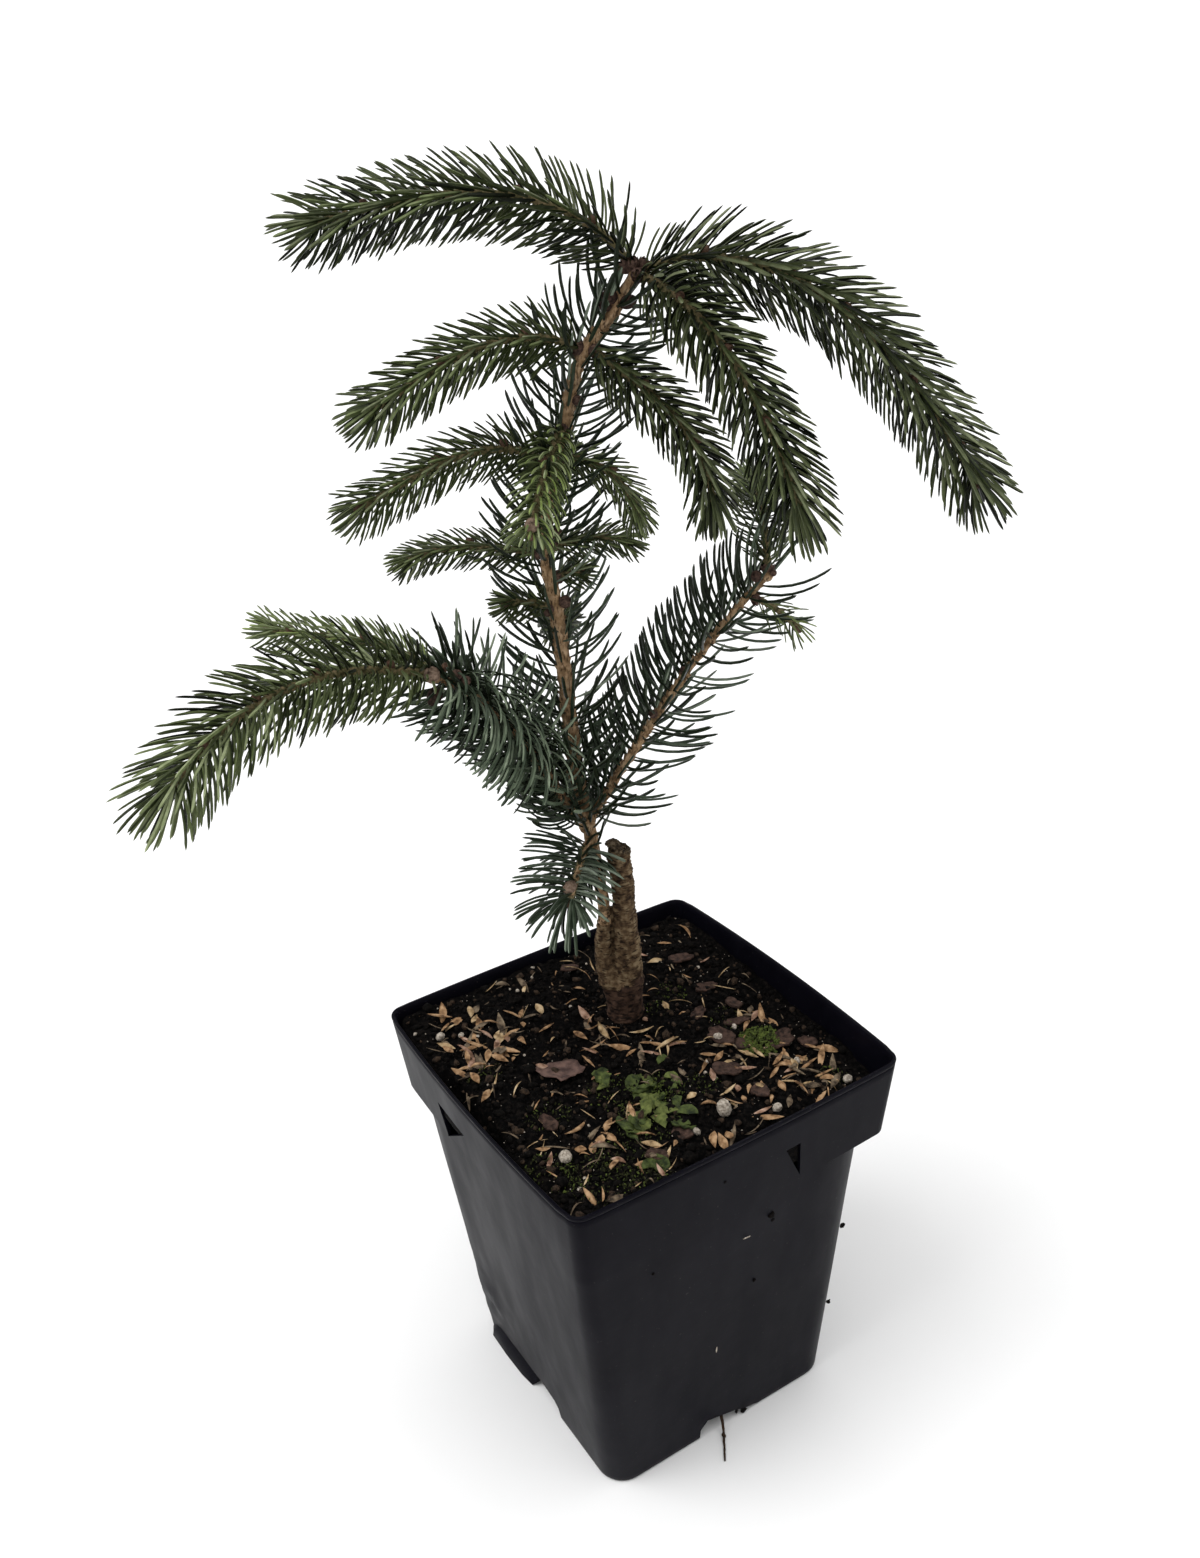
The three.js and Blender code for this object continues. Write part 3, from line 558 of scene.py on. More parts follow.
def grow(pile, owner, path, habit, length, start, end, looks, peg_kind, tip=False):
    """Needles in a spiral along a stretch of a limb, each on its peg."""
    count = round((end - start) / habit["spacing"])
    share = (np.arange(count) + 0.5 + rng.uniform(-0.2, 0.2, count)) / count
    if tip:
        share = np.concatenate([share, rng.uniform(TIP_BUD_FROM, 1.0, habit["tips"])])
    count = len(share)
    along = start + share * (end - start)
    tangent, side, other = path.frames(along)
    wander = rng.uniform(-1, 1, (2, count)) * habit["stray"]
    angle = np.radians(np.arange(count) * GOLDEN_ANGLE + wander[0])[:, None]
    outward = side * np.cos(angle) + other * np.sin(angle)
    front = unit(TO_FRONT - (tangent @ TO_FRONT)[:, None] * tangent)
    aside = unit(outward - habit["part"] * np.sum(outward * front, -1, keepdims=True) * front)
    close = smoothstep(share, TIP_FROM if tip else END_FROM, 1)
    splay = habit["splay"] + (habit["end_splay"] - habit["splay"]) * close + wander[1]
    if tip:
        round_bud = rng.uniform(habit["tip_splay"], habit["end_splay"], count)
        splay = np.where(share > TIP_BUD_FROM, round_bud, splay)
    splay = np.radians(splay)[:, None]
    starts = unit(tangent * np.cos(splay) + aside * np.sin(splay) + UP * habit["lift"])
    bends = unit(tangent * habit["ahead"] + UP * habit["skyward"])
    reach = length * rng.uniform(0.92, 1.05, count)
    if tip:
        reach *= np.where(share < 0.06, 0.75, 1.0) * (1 - 0.06 * smoothstep(share, 0.88, 1))
    reach *= 1 - habit["crowd"] * smoothstep(outward[:, 1], 0, 0.8)
    upper_side = np.clip(outward[:, 2], 0, 1)
    uneven = 1 + 0.04 * habit["stray"] * rng.uniform(-1, 1, count)
    curls = np.radians(habit["curl"]) * uneven * (1 - habit["ease"] * upper_side)
    feet = path.point(along) + outward * path.radius(along)[:, None] * 0.92
    centre, _, _ = arcs(starts, bends, reach, curls, PROBES)
    probes = feet[:, None] + centre[:, 1:]
    wood, thick = wood_points(owner)
    gap = np.linalg.norm(probes[:, :, None] - wood[None, None], axis=-1) - thick
    keep = gap.min(axis=(1, 2)) > habit["width"] * 0.7
    keep &= probes[:, :, 2].min(axis=1) > SOIL_TOP + SOIL_CLEAR
    facing = outward @ TO_FRONT
    bare = 1 - smoothstep(facing, -0.1, 0.5) if habit["bare"] < 0 else smoothstep(facing, 0.2, 0.6)
    keep &= rng.uniform(0, 1, count) > abs(habit["bare"]) * bare
    keep &= rng.uniform(0, 1, count) > habit["thin"] * smoothstep(-outward[:, 2], 0.1, 0.5)
    kinds = np.array([LOOKS[look] for look in looks])[rng.integers(0, len(looks), count)]
    tops = add_pegs(twigs, feet[keep], outward[keep], tangent[keep], habit["peg"], peg_kind)
    roots, starts = tops - starts[keep] * 0.15, starts[keep]
    add_needles(pile, roots, starts, bends[keep], reach[keep], curls[keep], habit, kinds[keep])


# ---- Buds: overlapping scales on an egg shape

def add_bud(foot, axis, length, width, kind=0, rows=4, around=5, flare=0.0, open_to=1.0):
    """A bud from `foot` along `axis`. A flare above 0 makes an open cup of old bud scales."""
    axis = unit(np.asarray(axis, float))
    side = unit(np.cross(axis, UP if abs(axis[2]) < 0.9 else np.array([1.0, 0, 0])))
    other = np.cross(axis, side)
    u, v = np.linspace(0, 1, 5), np.linspace(-1, 1, 5)
    shapes = []
    for row in range(rows):
        for k in range(around):
            turn = 2 * np.pi * (k + 0.5 * (row % 2) + rng.uniform(-0.08, 0.08)) / around
            low = row / rows * 0.72 * open_to
            high = min(low + 0.62, 1.02)
            height = low + (high - low) * u
            body = np.sin(np.pi * np.clip(0.12 + 0.88 * height, 0, 1)) ** 0.6
            out = width / 2 * (body + 0.05 + flare * (u**1.5) * (1 + 0.3 * rng.uniform(-1, 1)))
            half = np.pi / around * 1.25 * (1 - u**2.2)
            angle = turn + half[:, None] * v[None]
            radius = out[:, None] * (1 - 0.06 * v[None] ** 2)
            outward = side * np.cos(angle)[..., None] + other * np.sin(angle)[..., None]
            points = foot + axis * (height * length)[:, None, None] + outward * radius[..., None]
            shapes.append(points.reshape(-1, 3))
    twigs.tile(np.array(shapes), (grid_faces(5, 5, False), kind))


# ---- Materials

DULL = 0.12
# Values of the noise between which a surface goes through its colours
COLOR_SPAN = (0.34, 0.66)


def new_material(name, roughness, specular=DULL):
    material = bpy.data.materials.new(name)
    material.use_nodes = True
    shader = material.node_tree.nodes["Principled BSDF"]
    shader.inputs["Roughness"].default_value = roughness
    shader.inputs["Specular IOR Level"].default_value = specular
    return material, material.node_tree, shader


def add_noise(tree, lump, detail=4.0, stretch=(1, 1, 1)):
    """Noise in lumps of about `lump` millimetres, drawn out along the axes of `stretch` < 1."""
    place = tree.nodes.new("ShaderNodeTexCoord")
    mapping = tree.nodes.new("ShaderNodeMapping")
    mapping.inputs["Scale"].default_value = stretch
    texture = tree.nodes.new("ShaderNodeTexNoise")
    texture.inputs["Scale"].default_value = 1 / (lump * MM)
    texture.inputs["Detail"].default_value = detail
    tree.links.new(place.outputs["Object"], mapping.inputs["Vector"])
    tree.links.new(mapping.outputs["Vector"], texture.inputs["Vector"])
    return texture.outputs["Fac"]


def add_ramp(tree, value, stops):
    ramp = tree.nodes.new("ShaderNodeValToRGB")
    elements = ramp.color_ramp.elements
    while len(elements) < len(stops):
        elements.new(0.5)
    for element, (place, color) in zip(elements, stops):
        element.position = place
        element.color = (*(color if isinstance(color, tuple) else (color,) * 3), 1)
    tree.links.new(value, ramp.inputs["Fac"])
    return ramp.outputs["Color"]


def add_mix(tree, factor, first, second):
    mix = tree.nodes.new("ShaderNodeMixRGB")
    tree.links.new(factor, mix.inputs["Fac"])
    for socket, value in (("Color1", first), ("Color2", second)):
        if isinstance(value, tuple):
            mix.inputs[socket].default_value = (*value, 1)
        else:
            tree.links.new(value, mix.inputs[socket])
    return mix.outputs["Color"]


def add_bump(tree, shader, height, distance, before=None):
    bump = tree.nodes.new("ShaderNodeBump")
    bump.inputs["Distance"].default_value = distance * MM
    tree.links.new(height, bump.inputs["Height"])
    if before is not None:
        tree.links.new(before, bump.inputs["Normal"])
    tree.links.new(bump.outputs["Normal"], shader.inputs["Normal"])
    return bump.outputs["Normal"]


def mottled(name, colors, lump, roughness, relief, fine=None, specular=DULL):
    """A surface whose colour wanders between `colors` in lumps of `lump` millimetres, with
    a relief of `relief` millimetres in lumps of `fine`."""
    material, tree, shader = new_material(name, roughness, specular)
    wander = add_noise(tree, lump)
    places = np.linspace(*COLOR_SPAN, len(colors))
    tree.links.new(add_ramp(tree, wander, list(zip(places, colors))), shader.inputs["Base Color"])
    low, high = roughness * 0.85, min(1.0, roughness * 1.15)
    tree.links.new(add_ramp(tree, wander, [(0.3, low), (0.7, high)]), shader.inputs["Roughness"])
    add_bump(tree, shader, add_noise(tree, fine or lump / 3), relief)
    return material


def bark_material(name, colors, crack, lump, relief, stretch):
    """Mottled bark with dark cracks."""
    material, tree, shader = new_material(name, 0.9)
    wander = add_noise(tree, lump, detail=6)
    places = np.linspace(*COLOR_SPAN, len(colors))
    base = add_ramp(tree, wander, list(zip(places, colors)))
    cracks = add_noise(tree, lump * 0.45, detail=5, stretch=stretch)
    line = add_ramp(tree, cracks, [(0.37, 0.85), (0.47, 0.0)])
    tree.links.new(add_mix(tree, line, base, crack), shader.inputs["Base Color"])
    first = add_bump(tree, shader, cracks, relief)
    add_bump(tree, shader, add_noise(tree, lump * 0.15), relief * 0.3, first)
    return material


PLASTIC, PLASTIC_PALE = (0.0018, 0.0016, 0.0038), (0.004, 0.0037, 0.0066)
SCUFF, DUST = (0.022, 0.022, 0.027), (0.045, 0.041, 0.038)


def plastic_material():
    """Black moulded plastic: faintly cloudy, with drawn-out scuffs and specks of dust."""
    material, tree, shader = new_material("pot_plastic", 0.4, 0.041)
    cloud = add_noise(tree, 34, detail=5)
    scuff = add_noise(tree, 9, detail=6, stretch=(1, 1, 0.3))
    speck = add_noise(tree, 0.9, detail=2)
    base = add_ramp(tree, cloud, [(0.35, PLASTIC), (0.65, PLASTIC_PALE)])
    scuffed = add_mix(tree, add_ramp(tree, scuff, [(0.6, 0.0), (0.8, 0.14)]), base, SCUFF)
    dusty = add_mix(tree, add_ramp(tree, speck, [(0.7, 0.0), (0.78, 0.6)]), scuffed, DUST)
    tree.links.new(dusty, shader.inputs["Base Color"])
    tree.links.new(add_ramp(tree, scuff, [(0.35, 0.36), (0.7, 0.46)]), shader.inputs["Roughness"])
    first = add_bump(tree, shader, cloud, 0.3)
    add_bump(tree, shader, add_noise(tree, 0.4, detail=2), 0.006, first)
    return material


# Surfaces: colours (screen values), lump, roughness, relief, the relief's lump, specular
SURFACES = {
    "potting_soil": ([(2, 2, 2), (7, 6, 6), (23, 20, 18)], 1.4, 0.95, 0.6, 0.5, 0.04),
    "soil_crumb": ([(3, 3, 3), (21, 18, 16)], 0.9, 0.9, 0.3, None, 0.06),
    "soil_crumb_brown": ([(24, 18, 14), (66, 53, 42)], 0.8, 0.9, 0.3),
    "husk_straw": ([(94, 76, 52), (164, 138, 102), (192, 170, 136)], 2.2, 0.6, 0.12, 0.35),
    "husk_tan": ([(78, 56, 36), (142, 110, 78), (176, 144, 110)], 2.0, 0.6, 0.12, 0.35),
    "husk_pink": ([(86, 62, 48), (144, 112, 92), (176, 148, 130)], 2.0, 0.6, 0.12, 0.35),
    "husk_grey": ([(44, 36, 28), (96, 82, 66), (126, 112, 92)], 2.0, 0.7, 0.12, 0.35),
    "perlite": ([(118, 108, 96), (198, 188, 174)], 0.7, 0.85, 0.25, 0.3),
    "bark_chip": ([(34, 24, 20), (78, 60, 52)], 1.5, 0.8, 0.3, 0.5),
    "dead_leaf": ([(58, 43, 40), (106, 84, 76)], 2.2, 0.65, 0.2, 0.7),
    "moss": ([(34, 41, 17), (88, 100, 46)], 1.2, 0.8, 0.15),
    "moss_dull": ([(17, 18, 9), (50, 52, 28)], 1.2, 0.85, 0.15),
    "liverwort": ([(28, 36, 17), (80, 91, 47)], 2.2, 0.6, 0.12, 0.4),
    "liverwort_pale": ([(44, 52, 23), (104, 112, 60)], 2.2, 0.6, 0.12, 0.4),
    "cut_wood": ([(26, 18, 12), (78, 66, 50), (122, 108, 88)], 1.0, 0.9, 0.3, 0.3),
    "twig_bark": ([(62, 58, 36), (104, 98, 68), (130, 114, 86)], 1.3, 0.7, 0.08, 0.3),
    "bud_scale": ([(60, 43, 34), (102, 79, 64)], 0.8, 0.6, 0.05, 0.25),
    "old_scale": ([(50, 36, 32), (98, 78, 68)], 0.8, 0.8, 0.08, 0.25),
    "round_bud": ([(92, 74, 62), (142, 122, 106)], 0.8, 0.7, 0.08, 0.25),
    "dark_scale": ([(32, 23, 20), (76, 58, 50)], 0.8, 0.8, 0.08, 0.25),
    "root": ([(26, 18, 13), (60, 44, 33)], 1.0, 0.9, 0.1),
}
# Barks: colours and the cracks' colour, lump, relief, stretch of the cracks
BARKS = {
    "old_bark": (
        [(46, 33, 23), (92, 74, 54), (132, 114, 88)], (24, 16, 11), 2.2, 0.5, (0.4, 0.4, 1.5),
    ),
    "low_bark": (
        [(34, 23, 17), (56, 41, 33), (76, 58, 47)], (16, 11, 8), 2.4, 0.4, (0.4, 0.4, 1.4),
    ),
    "stem_bark": (
        [(112, 89, 63), (154, 126, 95), (181, 154, 123)], (66, 50, 36), 2.0, 0.22, (1.6, 1.6, 0.5),
    ),
}
# Needles: dark and light colour, roughness. The side_ and hang_ tones are lighter copies of the
# needle tones: painted light that makes up for the shade the crowded side shoots and hanging needles
# cast on one another.
NEEDLE_TONES = {
    "new_dark": ((8, 12, 3), (18, 24, 8), 0.4),
    "new_deep": ((32, 39, 18), (50, 57, 32), 0.4),
    "new_mid": ((56, 63, 38), (80, 87, 58), 0.42),
    "new_pale": ((88, 95, 66), (116, 122, 94), 0.45),
    "fresh": ((96, 112, 56), (136, 150, 92), 0.45),
    "side_deep": ((52, 61, 32), (76, 85, 52), 0.42),
    "side_mid": ((84, 95, 58), (112, 122, 84), 0.42),
    "side_pale": ((120, 130, 92), (152, 161, 124), 0.45),
    "old_dark": ((18, 25, 14), (30, 37, 24), 0.38),
    "old_deep": ((32, 42, 29), (50, 60, 45), 0.4),
    "old_mid": ((52, 63, 49), (76, 87, 71), 0.42),
    "old_pale": ((92, 103, 87), (126, 136, 119), 0.45),
    "hang_mid": ((78, 90, 72), (104, 116, 95), 0.42),
    "hang_pale": ((114, 127, 105), (146, 158, 135), 0.45),
}
MATERIALS = {"pot_plastic": plastic_material()}
for name, (colors, *rest) in SURFACES.items():
    MATERIALS[name] = mottled(name, [tone(*color) for color in colors], *rest)
for name, (colors, crack, *rest) in BARKS.items():
    MATERIALS[name] = bark_material(name, [tone(*color) for color in colors], tone(*crack), *rest)
for name, (dark, light, roughness) in NEEDLE_TONES.items():
    MATERIALS[name] = mottled(name, [tone(*dark), tone(*light)], 3.0, roughness, 0.03, 0.5)
MATERIALS["pale_floor"] = mottled("pale_floor", [(0.86,) * 3, (0.89,) * 3], 330, 0.9, 0.0)
NEEDLE_KINDS = list(NEEDLE_TONES)

# Looks of a needle: the materials of its pale face, of the face beside it and below. The pale face
# is the one turned to the sky, a painted highlight, and the faces below take painted shade; the side
# and hang looks use the lightened tones, painted light against the shade among crowded needles.
LOOK_NAMES = {
    "dark": ("new_deep", "new_dark", "new_dark"),
    "plain": ("new_mid", "new_deep", "new_dark"),
    "bright": ("new_pale", "new_mid", "new_deep"),
    "side": ("side_mid", "side_deep", "new_deep"),
    "side_bright": ("side_pale", "side_mid", "side_deep"),
    "fresh": ("fresh", "side_mid", "side_deep"),
    "old_dark": ("old_deep", "old_dark", "old_dark"),
    "old_plain": ("old_mid", "old_deep", "old_dark"),
    "old_bright": ("old_pale", "old_deep", "old_dark"),
    "old_light": ("old_pale", "old_mid", "old_deep"),
    "hang": ("hang_mid", "old_mid", "old_dark"),
    "hang_bright": ("hang_pale", "hang_mid", "old_deep"),
    "hang_edge": ("hang_pale", "old_mid", "old_dark"),
}
LOOKS = {look: [NEEDLE_KINDS.index(name) for name in trio] for look, trio in LOOK_NAMES.items()}


def ride(piece, slot, *nodes):
    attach(piece, "root")
    if nodes:
        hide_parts(*nodes)
    return piece


# ---- Foliage

WOOD_KINDS = ["twig_bark", "bud_scale", "old_scale", "stem_bark", "round_bud", "dark_scale"]
PEG, BUD, CUP, STEM, ROUND, DARK = range(6)

# The side looks, used on most side shoots, take the lightened side_ tones: painted light that makes
# up for the shade among their crowded needles.
NEW_LOOKS = ["side", "side", "bright"]
SHADED_LOOKS = ["plain", "plain", "dark", "bright"]
SHOOT_LOOKS = {
    "top_left_shoot": ["plain", "side", "bright"],
    "top_right_shoot": SHADED_LOOKS,
    "top_front_shoot": SHADED_LOOKS,
    "upper_right_shoot": SHADED_LOOKS,
    "middle_front_shoot": ["fresh", "fresh", "side_bright"],
    "bough_left_side_shoot": ["fresh", "side_bright", "side_bright"],
    "bough_left_shoot": ["side", "side_bright", "plain", "side_bright"],
    "bough_right_tuft": ["fresh", "side"],
}
SHOOT_HABITS = {"middle_front_shoot": FRONT_GROWTH, "bough_right_tuft": SPARSE_GROWTH}
CROWN = [
    "top_left_shoot", "top_right_shoot", "top_front_shoot", "upper_right_shoot", "upper_left_shoot",
]
# Millimetres between the buds along a shoot, from its foot to the first and to its tip
BUD_STEP, FIRST_BUD, LAST_BUD = 19, (14, 20), 8

twigs = Pile()
crown_needles, side_needles, old_needles = Pile(), Pile(), Pile()


def twig_relief(points, distance, angle):
    return 0.08 * noise(points, 0.8, 5)


def add_shoot(name, shoot):
    """One of this year's shoots: its twig, needles, cup of old scales, buds and tip bud."""
    path = limbs[name]
    habit = SHOOT_HABITS.get(name, SHORT_GROWTH if shoot["needle"] < 10 else NEW_GROWTH)
    add_tube(twigs, path.rings(0.7, 10, twig_relief), PEG)
    pile = crown_needles if name in CROWN else side_needles
    looks = SHOOT_LOOKS.get(name, NEW_LOOKS)
    owner, _ = leaves_at(shoot)
    grow(pile, owner, path, habit, shoot["needle"], 2.2, path.length, looks, PEG, tip=True)
    tangent, _, _ = path.frames(np.array([1.0, path.length]))
    add_bud(path.point(0.6), tangent[0], 3.4, 3.2, CUP, rows=2, around=6, flare=0.35, open_to=0.5)
    add_bud(path.point(path.length) - tangent[1] * 0.4, tangent[1], 2.8, 2.2, BUD)
    for at in np.arange(rng.uniform(*FIRST_BUD), path.length - LAST_BUD, BUD_STEP):
        at = at + rng.uniform(-3, 3)
        along, _, _ = path.frames(np.array([at]))
        facing = UP * 0.9 + heading_vector(TO_CAMERA) * rng.uniform(-0.4, 1.0)
        facing = facing + heading_vector(IMAGE_RIGHT) * rng.uniform(-0.5, 0.5)
        out = unit(facing - facing @ along[0] * along[0])
        foot = path.point(at) + out * path.radius(at) * 0.8
        add_bud(foot, out * 0.7 + along[0] * 0.7, 2.5, 2.0, BUD)


for name, shoot in SHOOTS.items():
    if name != "collar_tuft":
        add_shoot(name, shoot)

OLD_LOOKS = ["old_dark", "old_plain", "old_plain", "old_bright"]
tuft = limbs["collar_tuft"]
add_tube(twigs, tuft.rings(0.7, 12, twig_relief), STEM)
tuft_looks, length = ["old_plain", "old_bright", "old_light"], SHOOTS["collar_tuft"]["needle"]
grow(old_needles, "stem", tuft, TUFT, length, 3, tuft.length, tuft_looks, PEG, tip=True)
aim = heading_vector(IMAGE_LEFT, -10) + heading_vector(TO_CAMERA)
add_bud(tuft.point(tuft.length - 4.5), aim, 4.6, 3.4, ROUND, rows=5, around=7)
add_bud(tuft.point(tuft.length) - 0.4, heading_vector(TO_CAMERA, -40), 2.6, 2.0, BUD)

# Older needles on the stem: heights of the stretch, their length, millimetres of stem for
# each needle, and the same for those that lie along the wood
STEM_SLEEVES = {
    "stem_needles_low": (187, 224.8, 18.2, 0.42, 2.4),
    "stem_needles_middle": (224.8, 264.1, 18.7, 0.56, 2.4),
    "stem_needles_high": (264.1, 299.5, 18.7, 0.56, 1.7),
    "stem_needles_top": (299.5, 331.9, 18.7, 0.56, 1.3),
}
# Older needles on the boughs: each stretch's habit, needle length, share of the bough where
# it starts and ends, and looks; then the spacing of those that lie along the wood
# The left bough's hang looks take the lightened hang_ tones: painted light that makes up for the
# shade the dense hanging needles cast on one another.
LEFT_STRETCHES = [
    (CURLED, 15.5, 0, 0.42, ["hang", "hang_bright", "old_plain"]),
    (BOWED, 17.7, 0.42, 0.96, ["hang", "hang_bright", "old_plain"]),
    (HANGING, 17.7, 0.42, 0.96, ["hang_edge", "hang", "hang", "old_plain"]),
    (RAISED, 17.0, 0.72, 0.96, ["old_plain", "old_plain", "hang"]),
]
BOUGH_SLEEVES = {
    "right_bough_needles": ("right_bough", [(OLD_GROWTH, 18.7, 0, 0.97, OLD_LOOKS)], 2.4),
    "left_bough_needles": ("left_bough", LEFT_STRETCHES, 1.1),
}
# How far from the trunk's middle a bough's needles start
NEEDLES_FROM = 4
# Heights of the stem's neck, where the boughs leave it and needles lie close
NECK = (180.5, 192)
# Length of the needles that lie along the wood, and their looks
LYING_LENGTH, LYING_LOOKS = 12.5, ["old_light", "old_plain"]


def add_lying(limb, start, end, looks, **changes):
    """Needles that lie along the wood."""
    grow(old_needles, limb, limbs[limb], {**LYING, **changes}, LYING_LENGTH, start, end, looks, STEM)


for low, high, length, spacing, lying in STEM_SLEEVES.values():
    start, end = stem.at_height(low), stem.at_height(high)
    habit = {**STEM_GROWTH, "spacing": spacing}
    grow(old_needles, "stem", stem, habit, length, start, end, OLD_LOOKS, STEM)
    add_lying("stem", start, end, LYING_LOOKS, spacing=lying)
for limb, stretches, lying in BOUGH_SLEEVES.values():
    path = limbs[limb]
    for habit, length, low, high, looks in stretches:
        start, end = max(NEEDLES_FROM, low * path.length), high * path.length
        grow(old_needles, limb, path, habit, length, start, end, looks, STEM)
    add_lying(limb, NEEDLES_FROM, end, LYING_LOOKS, spacing=lying)
start, end = (stem.at_height(height) for height in NECK)
add_lying("stem", start, end, ["old_plain", "old_plain", "old_light"], spacing=0.7, splay=42)

# The front shoot's tip bud takes the lighter round-bud scales: partly the bud's own reddish colour,
# partly painted light against the shade it sits in.
front = limbs["middle_front_shoot"]
add_bud(front.point(front.length - 1) + TO_FRONT, TO_FRONT, 5.4, 3.4, ROUND)

# Buds on the stem: height, heading, length, width and kind
STEM_BUDS = [
    (331, IMAGE_LEFT, 3.8, 3.4, DARK),
    (329, IMAGE_LEFT, 3.0, 2.6, DARK),
    (329.5, IMAGE_RIGHT, 4.4, 3.2, DARK),
    (307, IMAGE_RIGHT, 2.8, 2.4, CUP),
    (293, IMAGE_RIGHT, 2.6, 2.2, CUP),
    (273, IMAGE_RIGHT, 4.2, 2.8, CUP),
    (254.5, IMAGE_RIGHT, 3.4, 3.2, CUP),
    (271, IMAGE_LEFT, 3.0, 2.6, CUP),
    (252, IMAGE_LEFT, 2.8, 2.4, CUP),
]
for height, heading, length, width, kind in STEM_BUDS:
    at = stem.at_height(height)
    out = unit(heading_vector(heading) + 0.45 * heading_vector(TO_CAMERA) + 0.35 * UP)
    foot = stem.point(at) + out * stem.radius(at) * 0.8
    add_bud(foot, out, length, width, kind, rows=4, around=6, flare=0.15)

# Scales left round the crown, and the buds at the boughs' tips
crown = stem.points[-1]
# Heading, pitch, length and width of the crown's scales
CROWN_SCALES = [(-121, 30, 3.8, 3.0), (-60, 55, 3.6, 2.6), (-31, 0, 3.0, 2.8), (40, 50, 3.2, 2.6)]
for heading, pitch, length, width in CROWN_SCALES:
    out = heading_vector(heading, pitch)
    add_bud(crown + out * 1.4, out, length, width, CUP, rows=3, around=6, flare=0.3, open_to=0.7)
left_tip = limbs["left_bough"].points[-1]
right_tip = limbs["right_bough"].points[-1]
# Buds there: how far right, up and towards the camera, where they point, length and width
TIP_BUDS = [
    (left_tip, (0.4, -0.4, 3.0), (-0.2, 0.2, 1), 4.4, 4.0, ROUND),
    (left_tip, (5.4, -0.6, 1.4), (0.6, 0.3, 1), 3.2, 2.8, CUP),
    (left_tip, (7.4, -2.0, 1.4), (1, 0, 1), 2.8, 2.4, CUP),
    (left_tip, (3.2, 1.4, 1.0), (0.3, 1, 1), 2.6, 2.2, BUD),
    (left_tip, (0.8, -3.4, 0.4), (-0.4, -0.9, 0.5), 5.2, 3.8, DARK),
    (right_tip, (-2.4, -0.4, 0.6), (-0.6, 0.2, 1), 3.2, 3.1, DARK),
    (right_tip, (0.9, 0.2, 1.0), (0.6, 0.4, 1), 2.0, 1.7, CUP),
]
for tip, place, aim, length, width, kind in TIP_BUDS:
    axes = np.array([TO_RIGHT, UP, TO_FRONT])
    add_bud(tip + place @ axes, aim @ axes, length, width, kind, rows=4, around=6)
for share in (0.62, 0.45):
    path = limbs["right_bough"]
    out = unit(heading_vector(IMAGE_LEFT, 30) + heading_vector(TO_CAMERA))
    add_bud(path.point(share * path.length) + out, out, 2.6, 2.4, CUP, rows=3, around=5)

SIDE_SHOOTS = [name for name in SHOOTS if name not in CROWN and name != "collar_tuft"]
OLD_NODES = ["collar_tuft", *STEM_SLEEVES, *BOUGH_SLEEVES]
for pile, name, slot, nodes in (
    (crown_needles, "crown_needles", "new_needles", CROWN),
    (side_needles, "side_needles", "new_needles", SIDE_SHOOTS),
    (old_needles, "old_needles", "old_needles", OLD_NODES),
):
    ride(pile.build(name, NEEDLE_KINDS, smooth=False), slot, *nodes)


# ---- Wood

# The ridge below each needle's peg: distance from one to the next along the wood, how far
# below the peg its middle is, half its length and, as an angle, its width
RIDGE_SPACING, RIDGE_DROP, RIDGE_REACH, RIDGE_WIDTH = 1.1, 2.2, 3.2, 0.32


def ridges(points, distance, angle):
    """Low ridges that run down from each needle's peg, and fine cracks."""
    n = np.arange(int(distance.max() / RIDGE_SPACING))
    centres, turns = n * RIDGE_SPACING, np.radians(n * GOLDEN_ANGLE) % (2 * np.pi)
    height = np.zeros(distance.shape)
    for centre, turn in zip(centres, turns):
        near = np.abs(distance - centre + RIDGE_DROP) < RIDGE_REACH
        around = (angle[near] - turn + np.pi) % (2 * np.pi) - np.pi
        along = (distance[near] - centre + RIDGE_DROP) / RIDGE_REACH
        bump = np.exp(-((around / RIDGE_WIDTH) ** 2)) * (1 - along**2)
        height[near] = np.maximum(height[near], bump)
    return 0.32 * height + 0.16 * fractal(points, (1.2, 1.2, 3.0), 3, 9) - 0.18


def add_knob(pile, centre, radius):
    points, faces = lump_shape(3)
    rough = 1 + 0.16 * fractal(points * radius, 1.6, 3, 3)
    pile.add(centre + points * radius * rough[:, None], (faces, 0))


# Heights between which the stem is drawn twice, as wood and as part of the stump
WOOD_FROM, STUMP_TO = 154, 160
wood = Pile()
add_tube(wood, stem.rings(0.6, 28, ridges, start=stem.at_height(WOOD_FROM)), 0)
for name in BOUGHS:
    add_tube(wood, limbs[name].rings(0.6, 20, ridges), 0)
fork = stem.point(stem.at_height(187))
for place, radius in ((crown, 1.9), (fork, 2.4), (left_tip, 2.0), (right_tip, 1.5)):
    add_knob(wood, place, radius)
ride(wood.build("stem_and_boughs", ["stem_bark"]), "stem_bark", "trunk", *BOUGHS)


def evaluated(piece):
    """The piece with its modifiers applied."""
    graph = bpy.context.evaluated_depsgraph_get()
    mesh = bpy.data.meshes.new_from_object(piece.evaluated_get(graph))
    old = piece.data
    piece.modifiers.clear()
    piece.data = mesh
    bpy.data.meshes.remove(old)


def read_points(mesh, field="co"):
    flat = np.zeros(len(mesh.vertices) * 3, np.float32)
    mesh.vertices.foreach_get(field, flat)
    return flat.reshape(-1, 3).astype(float)


